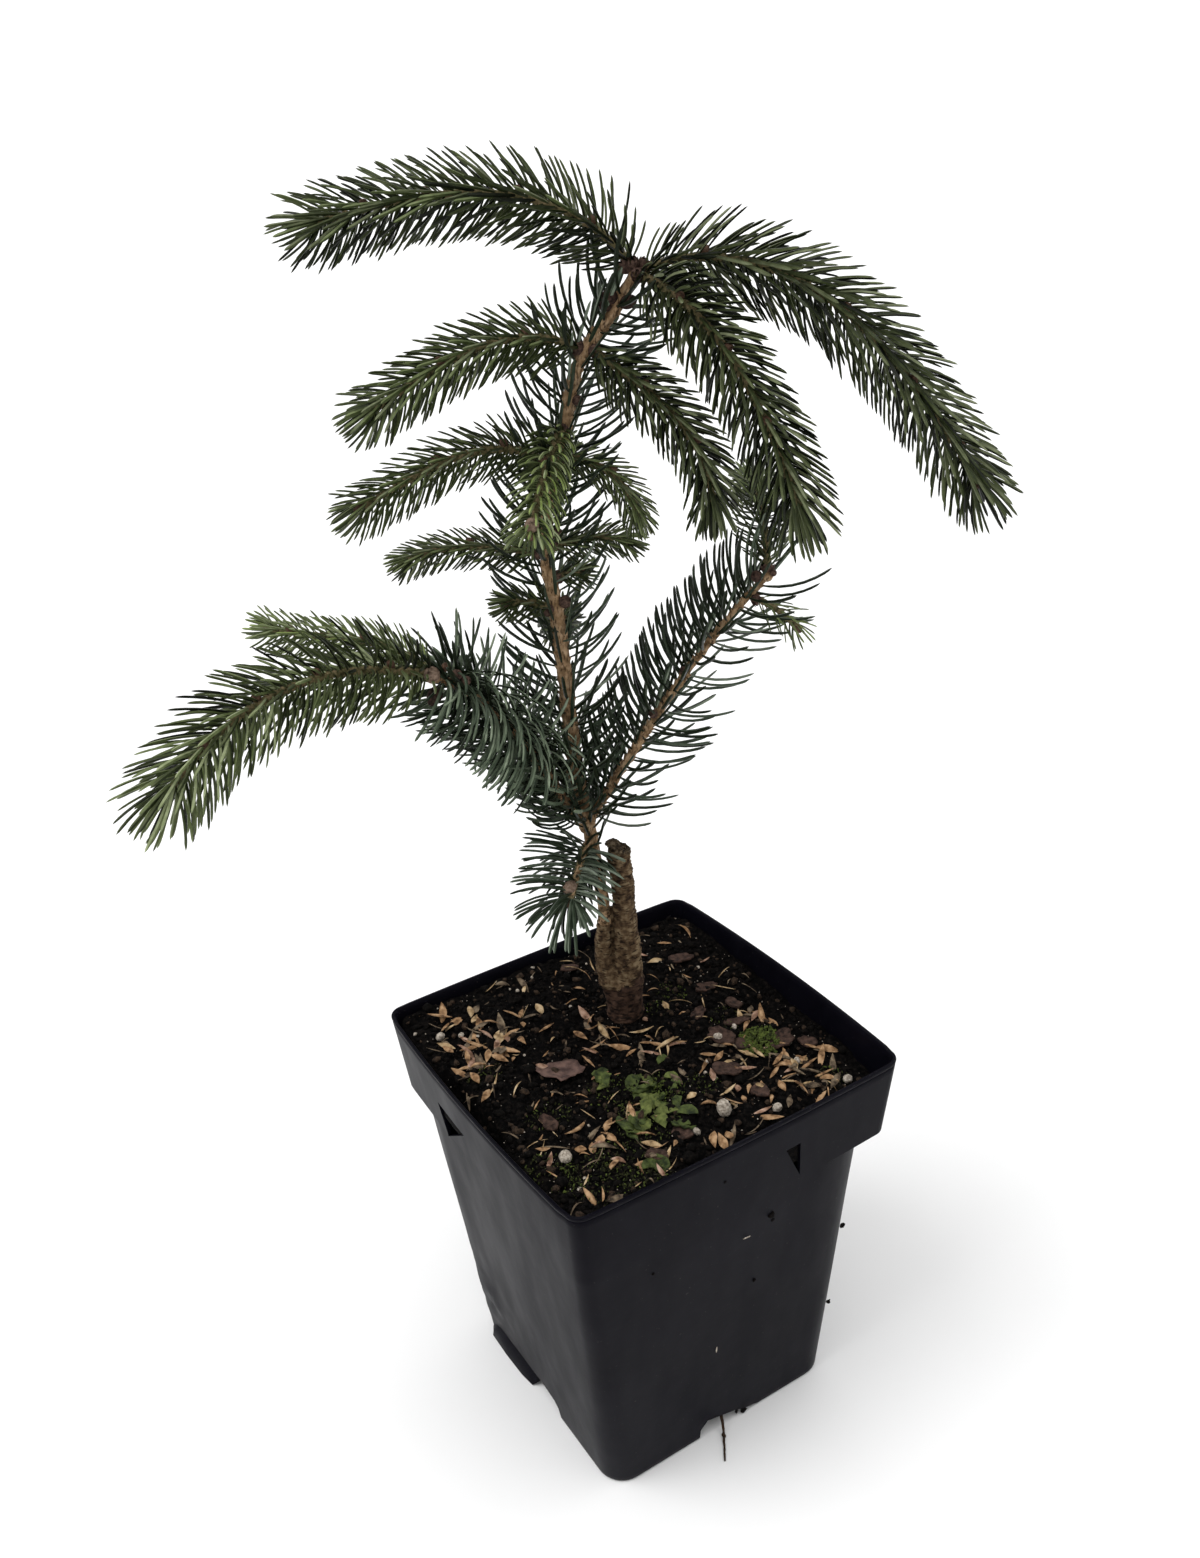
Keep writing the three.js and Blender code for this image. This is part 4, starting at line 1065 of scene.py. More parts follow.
def write_points(mesh, points):
    mesh.vertices.foreach_set("co", (points * MM).astype(np.float32).ravel())
    mesh.update()


def displace(piece, height):
    """Moves each point along its normal by height(points) millimetres."""
    points = read_points(piece.data) / MM
    write_points(piece.data, points + read_points(piece.data, "normal") * height(points)[:, None])


def face_centres(mesh):
    flat = np.zeros(len(mesh.polygons) * 3, np.float32)
    mesh.polygons.foreach_get("center", flat)
    return flat.reshape(-1, 3) / MM


def shade(piece, sharp=None):
    mesh = piece.data
    mesh.polygons.foreach_set("use_smooth", np.full(len(mesh.polygons), True))
    if sharp is not None:
        mesh.set_sharp_from_angle(angle=math.radians(sharp))


# The old bark: rootstock, its sawn-off stub and the graft, melted into one skin. Heights
# where the stem's own bark starts and the dark bark at the foot ends; reach of the cut
STEM_BARK_FROM = 178
CUT_REACH = 9
LOW_BARK_TO = 132.5
# How far below the stub's top and how far from its plane the sawn wood reaches, and how far
# from its middle the stem has its own bark
CUT_DEPTH, CUT_SKIN, STEM_SKIN = 10, 0.9, 3.2
# Edge of the voxels that melt the stem's foot and the rootstock into one skin
MELT = 0.42
# Heights between which the groove between the stem's foot and the stub deepens
GROOVE = (138, 147)


def axis_at(path, points):
    """The limb's centre and radius at the height of each point."""
    along = np.interp(points[:, 2], path.points[:, 2], path.lengths)
    return path.point(along), path.radius(along)


def bark_height(points):
    rough = 0.3 * fractal(points, (2.6, 2.6, 1.8), 4, 11)
    bend = 2.6 * noise(points, 3.4, 21)
    wrinkle = np.sin(points[:, 2] * 5.2 + bend + 1.8 * noise(points, 1.5, 22))
    wrinkle = 0.34 * wrinkle * (0.7 + 0.6 * noise(points, 5.0, 23))
    crack = -0.4 * smoothstep(-np.abs(noise(points, (2.2, 2.2, 7.0), 31)), -0.07, 0)
    collar = 0.5 * np.exp(-(((points[:, 2] - LOW_BARK_TO) / 1.2) ** 2))
    depths = []
    for path in (stem, rootstock):
        centre, radius = axis_at(path, points)
        depths.append(np.linalg.norm(points - centre, axis=1) - radius)
    groove = np.exp(-(((depths[0] - depths[1]) / 0.7) ** 2)) * smoothstep(points[:, 2], *GROOVE)
    return rough + wrinkle + crack + collar - 1.4 * groove


def near_cut(points, end):
    """Whether each point is close to the stub's sawn end."""
    beside = np.linalg.norm((points - end)[:, :2], axis=1) < CUT_REACH
    return beside & (points[:, 2] > STUB_TOP - CUT_DEPTH)


def make_stump():
    pile = Pile()
    add_tube(pile, rootstock.rings(1.0, 32, end=rootstock.at_height(STUB_TOP + 3)), 0)
    add_tube(pile, stem.rings(1.0, 24, end=stem.at_height(STUMP_TO)), 0)
    stump = pile.build("rootstock", ["old_bark", "cut_wood", "stem_bark", "low_bark"])
    melt = stump.modifiers.new("melt", "REMESH")
    melt.mode = "VOXEL"
    melt.voxel_size = MELT * MM
    evaluated(stump)
    displace(stump, bark_height)
    end = rootstock.point(rootstock.at_height(STUB_TOP))
    normal = turned(SWAY_HEADING, STUB_CUT_SLOPE, 0)[:, 2]
    points = read_points(stump.data) / MM
    above = (points - end) @ normal - 0.8 * fractal(points, 2.2, 3, 41)
    over = (above > 0) & near_cut(points, end)
    points[over] -= above[over][:, None] * normal
    write_points(stump.data, points)
    centres = face_centres(stump.data)
    wander = 2.5 * fractal(centres, 3.0, 3, 43)
    kinds = np.zeros(len(centres))
    kinds[centres[:, 2] + wander * 1.2 < LOW_BARK_TO] = 3
    axis, _ = axis_at(stem, centres)
    on_stem = np.linalg.norm(centres - axis, axis=1) < STEM_SKIN
    kinds[on_stem & (centres[:, 2] + wander > STEM_BARK_FROM)] = 2
    kinds[near_cut(centres, end) & (np.abs((centres - end) @ normal) < CUT_SKIN)] = 1
    stump.data.polygons.foreach_set("material_index", kinds.astype(np.int32))
    shade(stump)
    return stump


ride(make_stump(), "old_bark", "cut_stub")
ride(twigs.build("twigs_and_buds", WOOD_KINDS), "stem_bark")


# ---- Pot

def pot_ring(z, side, corner, stepped, bow, inset):
    """One level of the pot: a square with rounded corners and sides that bow outwards."""
    half = side / 2 - inset
    points = []
    for quarter in range(4):
        swell = bow * (BOW_X if quarter % 2 == 0 else BOW_Y)
        before = max((corner if quarter % 2 == 0 else stepped) - inset, 0.6)
        after = max((stepped if quarter % 2 == 0 else corner) - inset, 0.6)
        along = np.linspace(before - half, half - after, SIDE_STEPS + 1)[1:-1]
        out = half + swell * (1 - (along / half) ** 2)
        turn = np.linspace(0, np.pi / 2, CORNER_STEPS + 1)
        x = np.concatenate([out, half - after * (1 - np.cos(turn))])
        y = np.concatenate([along, half - after * (1 - np.sin(turn))])
        c, s = round(math.cos(quarter * math.pi / 2)), round(math.sin(quarter * math.pi / 2))
        points.append(np.stack([c * x - s * y, s * x + c * y, np.full(len(x), float(z))], -1))
    return np.concatenate(points)


def body_level(z, inset=0.0):
    """The tapered body below the band."""
    t = z / BAND_FOOT
    side = BASE_SIDE + (BAND_FOOT_SIDE - BASE_SIDE) * t
    corner = BASE_CORNER + (RIM_CORNER - BASE_CORNER) * t
    stepped = BASE_CORNER + (STEPPED_CORNER - BASE_CORNER) * t
    return pot_ring(z, side, corner, stepped, 0.35 * t, inset)


def band_level(z, inset=0.0):
    t = (z - BAND_FOOT) / (POT_HEIGHT - BAND_FOOT)
    side = BAND_FOOT_SIDE + (RIM_SIDE - BAND_FOOT_SIDE) * t
    return pot_ring(z, side, RIM_CORNER, RIM_CORNER, 0.35 + 0.65 * t, inset)


# Openings in the walls, as (across, height): the band's slots, and the drain notches of
# the wall that faces +X, of the one that faces -Y and of the two others
X_FACE_SLOT = [(13.2, 113.6), (18.2, 113.8), (19.2, 100.8)]
Y_FACE_SLOT = [(-23.2, 112), (-22.8, 98.4), (-6.8, 110.8)]
FRONT_NOTCH = [
    (-9.6, -2), (-9.4, 4.6), (-7, 7.6), (-2.2, 6.2), (2.2, 4.8), (7.9, 2.6), (13.5, 0.7), (14, -2),
]
LEFT_NOTCH = [(-5, -2), (-5, 8.2), (2, 8.4), (8, 7.2), (9.8, 5.2), (10.2, -2)]
LEFT_RECESS = [(-31, -2), (-30, 5.6), (-27, 7.4), (-16, 8.4), (-4, 8.2), (-4, -2)]
PLAIN_NOTCH = [(-10, -2), (-10, 3.5), (-8.5, 5), (8.5, 5), (10, 3.5), (10, -2)]
# The notch of the wall at each heading
NOTCHES = {0: FRONT_NOTCH, 90: PLAIN_NOTCH, 180: PLAIN_NOTCH, -90: LEFT_NOTCH}
# Distances from the pot's middle between which the slots are cut, to which the notches are
# cut, and the depth of the recess
SLOT_REACH, NOTCH_END, RECESS_DEPTH = (40, 70), 60, 2.2


def prism(outline, heading, near, far):
    """A block with the outline (across, height), from `near` to `far` along a heading."""
    turn = turned(heading, 0, 0)
    rings = [np.array([[reach, u, z] for u, z in outline]) @ turn.T for reach in (near, far)]
    area = sum(a[0] * b[1] - b[0] * a[1] for a, b in zip(outline, outline[1:] + outline[:1]))
    pile = Pile()
    add_tube(pile, np.array(rings)[:, ::-1 if area < 0 else 1], 0)
    return pile.build("cutter", [])


def pot_rings():
    step, under_lip = BAND_FOOT - STEP_RISE, POT_HEIGHT - LIP_HEIGHT
    rings = [body_level(0, 0.9), body_level(0.25, 0.3), body_level(0.9)]
    rings += [body_level(z) for z in np.linspace(2.5, step - 0.6, 56)]
    rings += [body_level(step), band_level(BAND_FOOT)]
    rings += [band_level(z) for z in np.linspace(BAND_FOOT + 1.5, under_lip - 0.4, 14)]
    rings += [band_level(under_lip, 0.25)]
    for turn in np.radians(np.linspace(-70, 90, 7)):
        rings.append(band_level(under_lip + 0.9 + 0.7 * math.sin(turn), 0.3 - 0.35 * math.cos(turn)))
    rings += [band_level(POT_HEIGHT - 0.1, 0.95), band_level(POT_HEIGHT - 0.6, WALL)]
    rings += [band_level(z, WALL) for z in np.linspace(POT_HEIGHT - 2, BAND_FOOT + WALL, 12)]
    rings += [body_level(z, WALL) for z in np.linspace(step + WALL, FLOOR, 12)]
    return np.array(rings)


def make_pot():
    pile = Pile()
    add_tube(pile, pot_rings(), 0)
    pot = pile.build("pot_shell", ["pot_plastic"])
    through = BASE_SIDE / 2 - DRAIN_DEPTH
    cutters = [prism(LEFT_RECESS, -90, BASE_SIDE / 2 - RECESS_DEPTH, NOTCH_END)]
    for heading, notch in NOTCHES.items():
        slot = X_FACE_SLOT if heading % 180 == 0 else Y_FACE_SLOT
        cutters += [prism(slot, heading, *SLOT_REACH), prism(notch, heading, through, NOTCH_END)]
    for number, cutter in enumerate(cutters):
        cut = pot.modifiers.new(f"cut{number}", "BOOLEAN")
        cut.operation = "DIFFERENCE"
        cut.solver = "EXACT"
        cut.object = cutter
    evaluated(pot)
    for cutter in cutters:
        bpy.data.objects.remove(cutter)
    displace(pot, pot_dents)
    shade(pot, 35)
    return pot


def pot_dents(points):
    """Slight waves of the walls, and crumpled creases low on the -Y wall's left end."""
    wall = 0.14 * noise(points, 26.0, 3) * smoothstep(-np.abs(points[:, 2] - 50), -50, -30)
    place = np.exp(-(((points[:, 0] + 28) / 12) ** 2) - (((points[:, 2] - 22) / 13) ** 2))
    crumple = 0.9 * place * fractal(points, (9.0, 9.0, 6.0), 3, 7) * (points[:, 1] < -38)
    front = np.exp(-(((points[:, 1] - 6) / 8) ** 2) - ((points[:, 2] / 5) ** 2))
    front = front * (points[:, 0] > 38)
    return wall + crumple + 0.5 * front * fractal(points, 4.0, 2, 17)


ride(make_pot(), "pot_plastic", "pot")

# The dark flap behind the recess in the -Y wall: (x, y, z) along its foot and its top
FLAP_FOOT = [
    (-34, -41.6, 0.3), (-31.8, -42.9, 0.3), (-22, -43.1, 0.3), (-12, -42.9, 0.3),
    (-6.4, -42.1, 0.4), (-5, -40.4, 2.0),
]
FLAP_TOP = [
    (-32, -39.6, 6.8), (-29, -39.6, 8.8), (-22, -39.6, 9.4), (-12, -39.6, 9.6), (-6.5, -39.6, 9.4),
    (-4.4, -39.6, 8.4),
]


def make_flap():
    foot, top = np.array(FLAP_FOOT), np.array(FLAP_TOP)
    rows = []
    for t in np.linspace(0, 1, 7):
        rows.append(foot + (top - foot) * t - [0, 0.9 * math.sin(math.pi * t), 0])
    front = np.array(rows)
    front[..., 1] += 0.3 * noise(front, 5.0, 19)
    sheet = front.reshape(-1, 3)
    pile = Pile()
    pile.add(np.concatenate([sheet, sheet + [0, 0.7, 0.1]]), (sheet_faces(len(rows), len(foot)), 0))
    return pile.build("drain_flap", ["pot_plastic"])


ride(make_flap(), "pot_plastic")


# ---- Soil and what lies on it

def from_trunk(x, y):
    return np.hypot(x - FOOT[0], y - FOOT[1])


def soil_height(x, y):
    """The soil slants; it has shrunk from two stretches of wall and swells at the front."""
    points = np.stack([x, y, np.zeros_like(x)], -1)
    mound = SOIL_MOUND * (1 - smoothstep(from_trunk(x, y), 5, 45))
    lumps = 0.8 * fractal(points, 14.0, 2, 51) + 0.7 * fractal(points, 3.4, 4, 61)
    right_gap = smoothstep(x, 43, 49) * smoothstep(y, -22, -12) * (1 - smoothstep(y, 30, 40))
    left_gap = smoothstep(-y, 48.5, 52) * smoothstep(x, -24, -16) * (1 - smoothstep(x, 8, 16))
    swell = smoothstep(x, 34, 50) * (1 - smoothstep(y, -16, -6))
    swell = swell + 0.5 * smoothstep(-y, 40, 52) * smoothstep(x, 14, 26)
    level = SOIL_TOP - SOIL_FALL_X * x - SOIL_FALL_Y * y
    return level + mound + lumps - 4.5 * right_gap - 5.5 * left_gap + 2.2 * np.minimum(swell, 1)


def on_soil(x, y, rise):
    """Points at a height of `rise` above the soil."""
    x, y = np.asarray(x), np.asarray(y)
    return np.stack([x, y, soil_height(x, y) + rise], -1)


def inside_pot(x, y, margin):
    half = SOIL_HALF - 0.2 - margin
    reach_x = half + SOIL_BOW_X * (1 - (y / 52) ** 2)
    reach_y = half + SOIL_BOW_Y * (1 - (x / 52) ** 2)
    return (np.abs(x) < reach_x) & (np.abs(y) < reach_y)


def make_soil():
    steps, half, corner_radius = 190, SOIL_HALF, 4.0
    u, v = np.meshgrid(np.linspace(-1, 1, steps), np.linspace(-1, 1, steps), indexing="ij")
    x, y = u * (half + SOIL_BOW_X * (1 - v**2)), v * (half + SOIL_BOW_Y * (1 - u**2))
    round_from = half - corner_radius
    past_x, past_y = np.abs(x) - round_from, np.abs(y) - round_from
    corner = (past_x > 0) & (past_y > 0)
    reach = np.hypot(past_x, past_y)
    pull = np.where(corner & (reach > corner_radius), corner_radius / np.maximum(reach, 1e-6), 1.0)
    x = np.where(corner, np.sign(x) * (round_from + past_x * pull), x)
    y = np.where(corner, np.sign(y) * (round_from + past_y * pull), y)
    surface = on_soil(x, y, 0)
    pile = Pile()
    pile.add(surface, (grid_faces(steps, steps, False), 0))
    edge = border(surface)
    foot = edge * [0.985, 0.985, 0] + [0, 0, SOIL_FOOT]
    add_tube(pile, np.array([foot, edge]), 0, ends=(True, False))
    return pile.build("soil_surface", ["potting_soil"])


ride(make_soil(), "potting_soil", "soil")


def scatter(number, margin=1.0):
    x, y = rng.uniform(-53, 53, (2, number * 2))
    keep = inside_pot(x, y, margin) & (from_trunk(x, y) > 5)
    return x[keep][:number], y[keep][:number]


def add_lumps(pile, x, y, sizes, kinds, level=1, rise=0.3, rough=0.35, squash=0.8):
    points, faces = lump_shape(level)
    bent = points[None] * (1 + rough * rng.uniform(-1, 1, (len(x), len(points)))[..., None])
    scale = sizes[:, None] * rng.uniform([0.8, 0.7, 0.6], [1.2, 1.0, 1.0], (len(x), 3))
    shapes = np.einsum("nij,npj->npi", random_turns(len(x)), bent * scale[:, None])
    shapes[..., 2] *= squash
    pile.tile(shapes + on_soil(x, y, sizes * rise)[:, None], (faces, kinds))


# How many crumbs of soil, specks and grains of perlite lie about
CRUMBS, SPECKS, GRAINS = 3400, 380, 34
# Beads of perlite: x, y and radius
BEADS = [
    (35.4, 6.2, 2.5), (26.9, -40.7, 2.1), (-38.0, -45.4, 1.7), (44.7, 43.6, 1.7), (6.4, 31.9, 1.2),
    (28.3, 38.4, 1.4), (37.2, -4.5, 1.3), (8.7, 24.0, 1.7), (42.7, 19.4, 1.6), (-35.5, -39.6, 1.2),
]


def make_crumbs():
    pile = Pile()
    x, y = scatter(CRUMBS)
    add_lumps(pile, x, y, rng.gamma(2.2, 0.22, len(x)) + 0.18, rng.choice([0, 0, 0, 0, 1], len(x)))
    x, y = scatter(SPECKS)
    add_lumps(pile, x, y, rng.uniform(0.1, 0.3, len(x)), 2, rise=0.6)
    x, y = scatter(GRAINS)
    add_lumps(pile, x, y, rng.uniform(0.4, 0.9, len(x)), 2, rise=0.3, level=2, rough=0.16)
    x, y, radius = np.array(BEADS).T
    add_lumps(pile, x, y, radius, 2, rise=0.5, level=3, rough=0.09, squash=0.9)
    return pile.build("soil_crumbs", ["soil_crumb", "soil_crumb_brown", "perlite"])


ride(make_crumbs(), "potting_soil")

HUSK_KINDS = ["husk_straw", "husk_tan", "husk_pink", "husk_grey"]
# How many husks lie in each patch and outside them, and how many thin shreds
PATCH_HUSKS, LOOSE_HUSKS, SHREDS = 8, 60, 160
# Where husks lie thick: x and y
HUSK_PATCHES = [
    (-26.2, -31.3), (-16.5, -46.2), (-30.4, -20.2), (27.7, 40.0), (2.8, 5.2), (11.3, 37.9),
    (-22.6, -41.2), (27.2, -31.8), (37.0, 27.2), (41.3, 7.0), (16.4, 20.3), (42.3, 35.7),
    (-36, -34), (-30, -42), (30, 14), (34, 36), (22, 30), (-8, -8),
]


def add_husks(pile, x, y, lengths, widths, kinds, tilt=26.0, curve=0.16):
    """Split husks and wood shreds: pointed at both ends, hollow below."""
    rows, columns = 9, 5
    u, v = np.linspace(-1, 1, rows)[:, None], np.linspace(-1, 1, columns)[None]
    outline = (1 - np.abs(u) ** 1.7) ** 1.05 + 0.03
    body = np.stack([u + 0 * v, outline * v, 0.42 * outline * (1 - v**2)], -1)
    under = body * [1, 0.96, 1] - [0, 0, 0.16]
    edge = np.concatenate([body.reshape(-1, 3), under.reshape(-1, 3)])
    rim = border(np.arange(rows * columns).reshape(rows, columns))
    after = np.roll(rim, -1)
    walls = np.stack([after, rim, rim + rows * columns, after + rows * columns], -1)
    faces = np.concatenate([sheet_faces(rows, columns), walls])
    shapes = edge[None] * np.stack([lengths / 2, widths / 2, widths / 2], -1)[:, None]
    bow = shapes[..., 0] ** 2 / lengths[:, None] * 2
    shapes[..., 2] -= rng.uniform(-curve, curve * 2, len(x))[:, None] * bow
    shapes[..., 1] += rng.uniform(-0.12, 0.12, len(x))[:, None] * bow
    placed = np.einsum("nij,npj->npi", random_turns(len(x), tilt), shapes)
    centre = on_soil(x, y, rng.uniform(0.5, 1.6, len(x)))
    pile.tile(placed + centre[:, None], (faces, kinds))


def make_husks():
    pile = Pile()
    spread = rng.normal(0, 4.6, (2, len(HUSK_PATCHES), PATCH_HUSKS))
    x, y = (np.array(HUSK_PATCHES).T[..., None] + spread).reshape(2, -1)
    keep = inside_pot(x, y, 3.0) & (from_trunk(x, y) > 6)
    more_x, more_y = scatter(LOOSE_HUSKS, 3.0)
    x, y = np.concatenate([x[keep], more_x]), np.concatenate([y[keep], more_y])
    sizes = rng.uniform(3.6, 9.4, len(x))
    widths = rng.uniform(1.0, 2.5, len(x))
    add_husks(pile, x, y, sizes, widths, rng.choice([0, 1, 1, 1, 2, 3, 3], len(x)))
    x, y = scatter(SHREDS, 3.0)
    lengths, widths = rng.uniform(2.5, 9, len(x)), rng.uniform(0.3, 0.7, len(x))
    add_husks(pile, x, y, lengths, widths, rng.choice([0, 3, 3, 1], len(x)), tilt=20, curve=0.35)
    return pile.build("husks", HUSK_KINDS)


ride(make_husks(), "potting_soil")


# How far chips and leaves lean at most
FLAKE_TILT = 8.0


def add_flake(pile, x, y, length, width, heading, thick, kind, jag=0.25, cup=0.1, rise=0.8):
    """A bark chip or dead leaf: an irregular flat plate, slightly cupped."""
    around, rows = 26, 5
    turn = np.linspace(0, 2 * np.pi, around, endpoint=False)
    circle = np.stack([np.cos(turn) * 2 + x, np.sin(turn) * 2 + y, 0 * turn], -1)
    edge = 1 + jag * noise(circle, 0.7, 71)
    rings = []
    for side, shares in ((1, np.linspace(0.05, 1, rows)), (-1, np.linspace(1, 0.05, rows))):
        for share in shares:
            px = np.cos(turn) * edge * share * length / 2
            py = np.sin(turn) * edge * share * width / 2
            ripple = 0.12 * noise(np.stack([px, py, 0 * px], -1), 1.2, 81)
            rings.append(np.stack([px, py, cup * share**2 * width + ripple + side * thick / 2], -1))
    spin = turned(heading, *rng.uniform(-FLAKE_TILT, FLAKE_TILT, 2))
    add_tube(pile, np.array(rings)[::-1] @ spin.T + on_soil(x, y, rise), kind)


# Bark chips: x, y, length, width, heading
CHIPS = [
    (19.1, 39.4, 9, 6.5, 100), (9.0, 25.3, 9, 6, 20), (22.2, 17.3, 9, 6, 60),
    (13.8, 28.8, 7, 4, 40), (5.0, 33.0, 8, 3, 70), (34.0, 20.0, 7, 5, 10), (-2.0, 38.0, 6, 4, 0),
    (-14.0, 36.0, 7, 4, 60), (-38.0, 22.0, 7, 5, 30), (-30.0, 38.0, 8, 5, 80),
    (14.0, -38.0, 7, 4, 10), (40.0, -20.0, 6, 4, 50), (24.0, 46.0, 6, 4, 35),
    (-44.0, 4.0, 6, 4, 75), (36.5, -8.5, 6, 4.5, 20), (-4.0, 26.0, 6, 4, 120),
]


def make_flakes():
    pile = Pile()
    add_flake(pile, -3.8, -23.4, 12.5, 9.5, 50, 0.35, 1, jag=0.4, cup=0.06, rise=1.5)
    for x, y, length, width, heading in CHIPS:
        add_flake(pile, x, y, length, width, heading, 0.8, 0)
    return pile.build("bark_chips", ["bark_chip", "dead_leaf"])


ride(make_flakes(), "potting_soil")

# Moss: x, y, radius, height, number of tips, their size, and how dull it is
MOSS = [
    (15.9, 34.4, 6.6, 2.4, 620, 0.85, False), (38.6, -37.5, 10, 0.6, 300, 0.6, True),
    (44, -26, 8, 0.6, 220, 0.6, True), (30, -46, 8, 0.6, 170, 0.6, True),
    (26.7, -13.7, 9, 0.6, 260, 0.55, True), (17.1, -4.0, 8, 0.6, 200, 0.55, True),
    (11.8, -16.2, 8, 0.6, 160, 0.55, True), (32.7, -27.6, 8, 0.6, 180, 0.55, True),
    (19, -3, 5, 0.9, 60, 0.7, False), (-16, -43, 6, 0.5, 110, 0.5, True),
    (10, -36, 7, 0.5, 120, 0.5, True), (2, 32, 6, 0.5, 90, 0.5, True),
    (-18, 26, 5, 0.5, 80, 0.5, True), (-12, 16, 4, 0.5, 50, 0.5, True),
    (22, 8, 6, 0.5, 90, 0.5, True), (40, 42, 5, 0.6, 90, 0.55, True),
]
# Liverwort: x, y, spread, number of lobes and their size
LIVERWORT = [
    (5.3, -15.2, 1.3, 6, 4.6), (12.5, -6.8, 1.5, 6, 4.2), (19.4, -8.5, 2.0, 8, 4.0),
    (25.4, -18.2, 1.7, 6, 4.0), (30.2, -6.0, 1.6, 6, 3.6), (44.0, -21.5, 0.9, 3, 3.8),
    (23.6, -13.0, 1.6, 5, 3.8), (15.0, 1.5, 2.2, 4, 2.4),
]


def add_moss(pile, x, y, radius, height, number, size, dull):
    """A patch of tiny leafy tips."""
    r, a = radius * np.sqrt(rng.uniform(0, 1, number)), rng.uniform(0, 2 * np.pi, number)
    px, py = x + r * np.cos(a), y + r * np.sin(a)
    keep = inside_pot(px, py, 0.5)
    px, py, r = px[keep], py[keep], r[keep]
    points, faces = lump_shape(1)
    scale = size * rng.uniform(0.5, 1.2, (len(px), 1, 1)) * np.array([1.0, 0.45, 0.35])
    shapes = np.einsum("nij,npj->npi", random_turns(len(px)), points[None] * scale)
    lift = height * (1 - (r / radius) ** 2) * rng.uniform(0.7, 1.1, len(px)) + 0.2
    kinds = rng.choice([0, 1, 1] if dull else [0], len(px))
    pile.tile(shapes + on_soil(px, py, lift)[:, None], (faces, kinds))


def add_lobe(pile, x, y, size, heading, tilt, kind):
    """One rounded, wavy lobe of liverwort."""
    rows, columns = 6, 9
    r, a = np.linspace(0, 1, rows)[:, None], np.linspace(-1.9, 1.9, columns)[None]
    wave = 0.09 * np.sin(a * 5 + heading) * r
    px, py = 0.9 * r * np.cos(a * 0.8), 0.95 * r * np.sin(a * 0.8)
    pz = 0.22 * r - 0.16 * r**2 + wave + 0.04 * r * np.abs(a)
    upper = size * np.stack([px, py, pz], -1).reshape(-1, 3)
    shape = np.concatenate([upper, upper - [0, 0, 0.25]]) @ turned(heading, -tilt, 0).T
    pile.add(shape + on_soil(x, y, 0.6), (sheet_faces(rows, columns), kind))


def make_moss():
    pile = Pile()
    for patch in MOSS:
        add_moss(pile, *patch)
    for x, y, spread, number, size in LIVERWORT:
        for dx, dy in rng.normal(0, spread, (number, 2)):
            heading, tilt, kind = rng.uniform(0, 360), rng.uniform(5, 34), rng.choice([2, 2, 3])
            add_lobe(pile, x + dx, y + dy, size * rng.uniform(0.6, 1.1), heading, tilt, kind)
    return pile.build("moss", ["moss", "moss_dull", "liverwort", "liverwort_pale"])


ride(make_moss(), "potting_soil")

# Crumbs of soil stuck to the pot: x, y, z and radius
STUCK = [
    (51.9, 9.9, 90.1, 1.0), (49.1, 39.2, 67.3, 0.8), (45.0, 38.0, 33.0, 0.7),
    (52.1, -30.4, 91.9, 0.4), (48.9, 6.0, 64.8, 0.5), (54.6, -7.9, 113.9, 0.4),
    (51.4, 10.8, 87.6, 0.6), (41.0, 7.5, 1.6, 1.1), (40.6, 5.0, 2.2, 0.7),
]
# Pale fibres on the wall: x, y, z, length, and lean from upright
FIBRES = [(51.7, 1.3, 86.4, 2.8, 84), (46.4, -6.2, 42.1, 2.4, -8)]
# The root at a drain notch: points along it, and the middle of its knot
ROOT_THREAD = [
    (40.5, -1.0, 5.2), (42.6, -1.8, 3.0), (44.0, -2.6, 0.9), (47.8, -5.2, 0.5), (51.7, -7.9, 0.4),
]
ROOT_NODE = (44.6, -3.0, 0.9)


def make_dirt():
    pile = Pile()
    points, faces = lump_shape(2)
    for x, y, z, radius in STUCK:
        rough = 1 + 0.5 * fractal(points * 2 + x, 1.0, 2, 91)
        pile.add(np.array([x, y, z]) + points * radius * rough[:, None] * [0.6, 1, 1], (faces, 0))
    for x, y, z, length, lean in FIBRES:
        turn = turned(0, 0, lean)
        pile.add(np.array([x, y, z]) + (points * [0.15, 0.22, length / 2]) @ turn.T, (faces, 1))
    thread = Path(ROOT_THREAD, [0.5, 0.46, 0.42, 0.36, 0.3])
    add_tube(pile, thread.rings(0.4, 7, lambda p, d, a: 0.12 * noise(p, 0.9, 95)), 2)
    pile.add(np.array(ROOT_NODE) + points * [0.9, 0.6, 0.6], (faces, 2))
    return pile.build("dirt", ["soil_crumb", "perlite", "root"])


ride(make_dirt(), "potting_soil")


# ---- Floor, light and camera

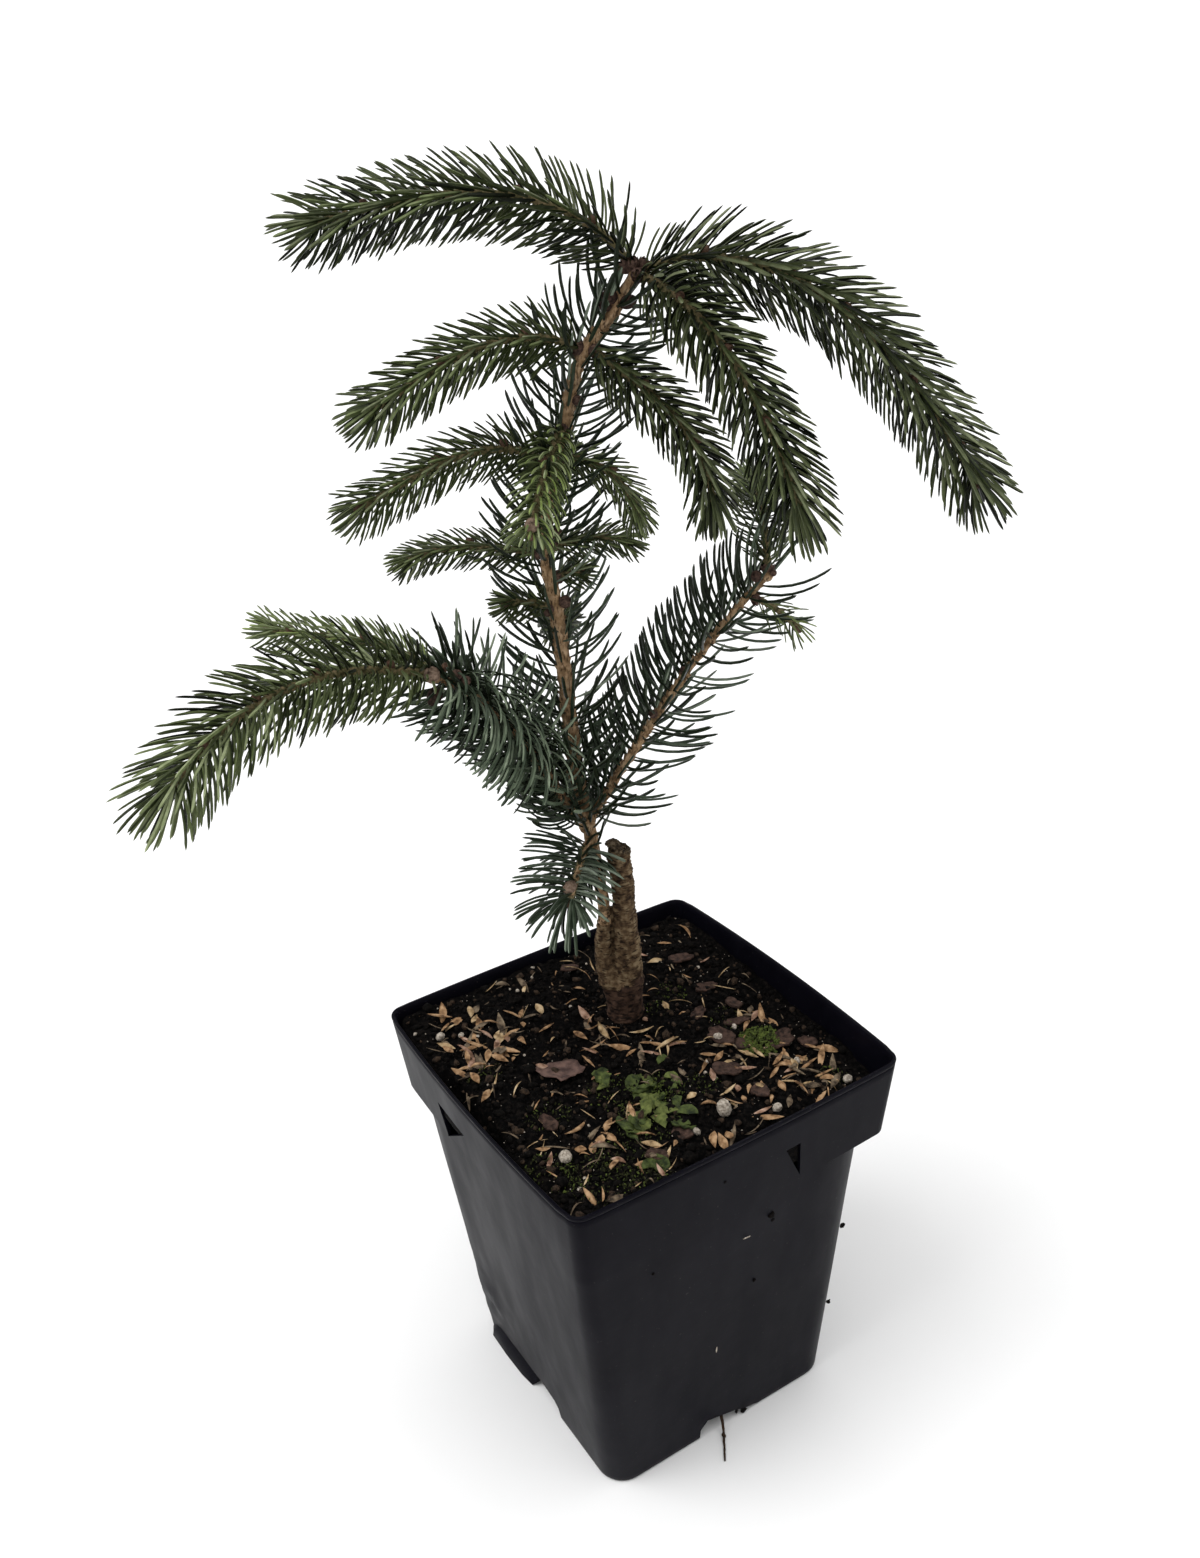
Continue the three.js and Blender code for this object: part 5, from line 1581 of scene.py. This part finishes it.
# The floor's sweep: radius and height
FLOOR_PROFILE = [
    (10, 0), (600, 0), (1200, 0), (2500, 25), (4000, 120), (5600, 300), (7200, 600), (8400, 1100),
    (9200, 1900), (9700, 3000), (9900, 4500),
]


def make_floor():
    """A pale disc whose far edge sweeps up, so that no horizon shows."""
    pile = Pile()
    turn = np.linspace(0, 2 * np.pi, 96, endpoint=False)
    rings = [[(r * math.cos(a), r * math.sin(a), z) for a in turn] for r, z in FLOOR_PROFILE]
    add_tube(pile, np.array(rings)[::-1], 0, ends=(False, True))
    pile.build("floor", ["pale_floor"])


# Suns: heading and pitch of where they stand, strength and size in degrees
SUNS = {"key": (-103, 53, 1.6, 40), "top": (20, 80, 1.4, 60)}
SKY_STRENGTH = 0.5


def make_light():
    world = bpy.data.worlds.new("studio")
    world.use_nodes = True
    bpy.context.scene.world = world
    background = world.node_tree.nodes["Background"]
    background.inputs["Color"].default_value = (1, 1, 1, 1)
    background.inputs["Strength"].default_value = SKY_STRENGTH
    for name, (heading, pitch, strength, size) in SUNS.items():
        lamp = bpy.data.lights.new(name, "SUN")
        lamp.energy = strength
        lamp.angle = math.radians(size)
        light = bpy.data.objects.new(name, lamp)
        towards = Vector(heading_vector(heading, pitch))
        light.rotation_euler = towards.to_track_quat("Z", "Y").to_euler()
        bpy.context.scene.collection.objects.link(light)


CAMERA_PLACE = (289.619, -179.721, 383.443)
CAMERA_RIGHT = (0.53619, 0.84233, -0.05455)
CAMERA_UP = (-0.35545, 0.28393, 0.89053)
CAMERA_AHEAD = (-0.76561, 0.45810, -0.45164)
CAMERA_LENS = 32.907


def make_camera():
    camera = bpy.data.objects.new("camera", bpy.data.cameras.new("camera"))
    camera.data.lens = CAMERA_LENS
    camera.data.sensor_width = 36
    camera.data.clip_start, camera.data.clip_end = 0.01, 20
    axes = Matrix([CAMERA_RIGHT, CAMERA_UP, [-a for a in CAMERA_AHEAD]]).transposed()
    camera.matrix_world = Matrix.Translation(Vector(CAMERA_PLACE) * MM) @ axes.to_4x4()
    bpy.context.scene.collection.objects.link(camera)
    bpy.context.scene.camera = camera


make_floor()
make_light()
make_camera()
bpy.context.scene.view_settings.view_transform = "Standard"
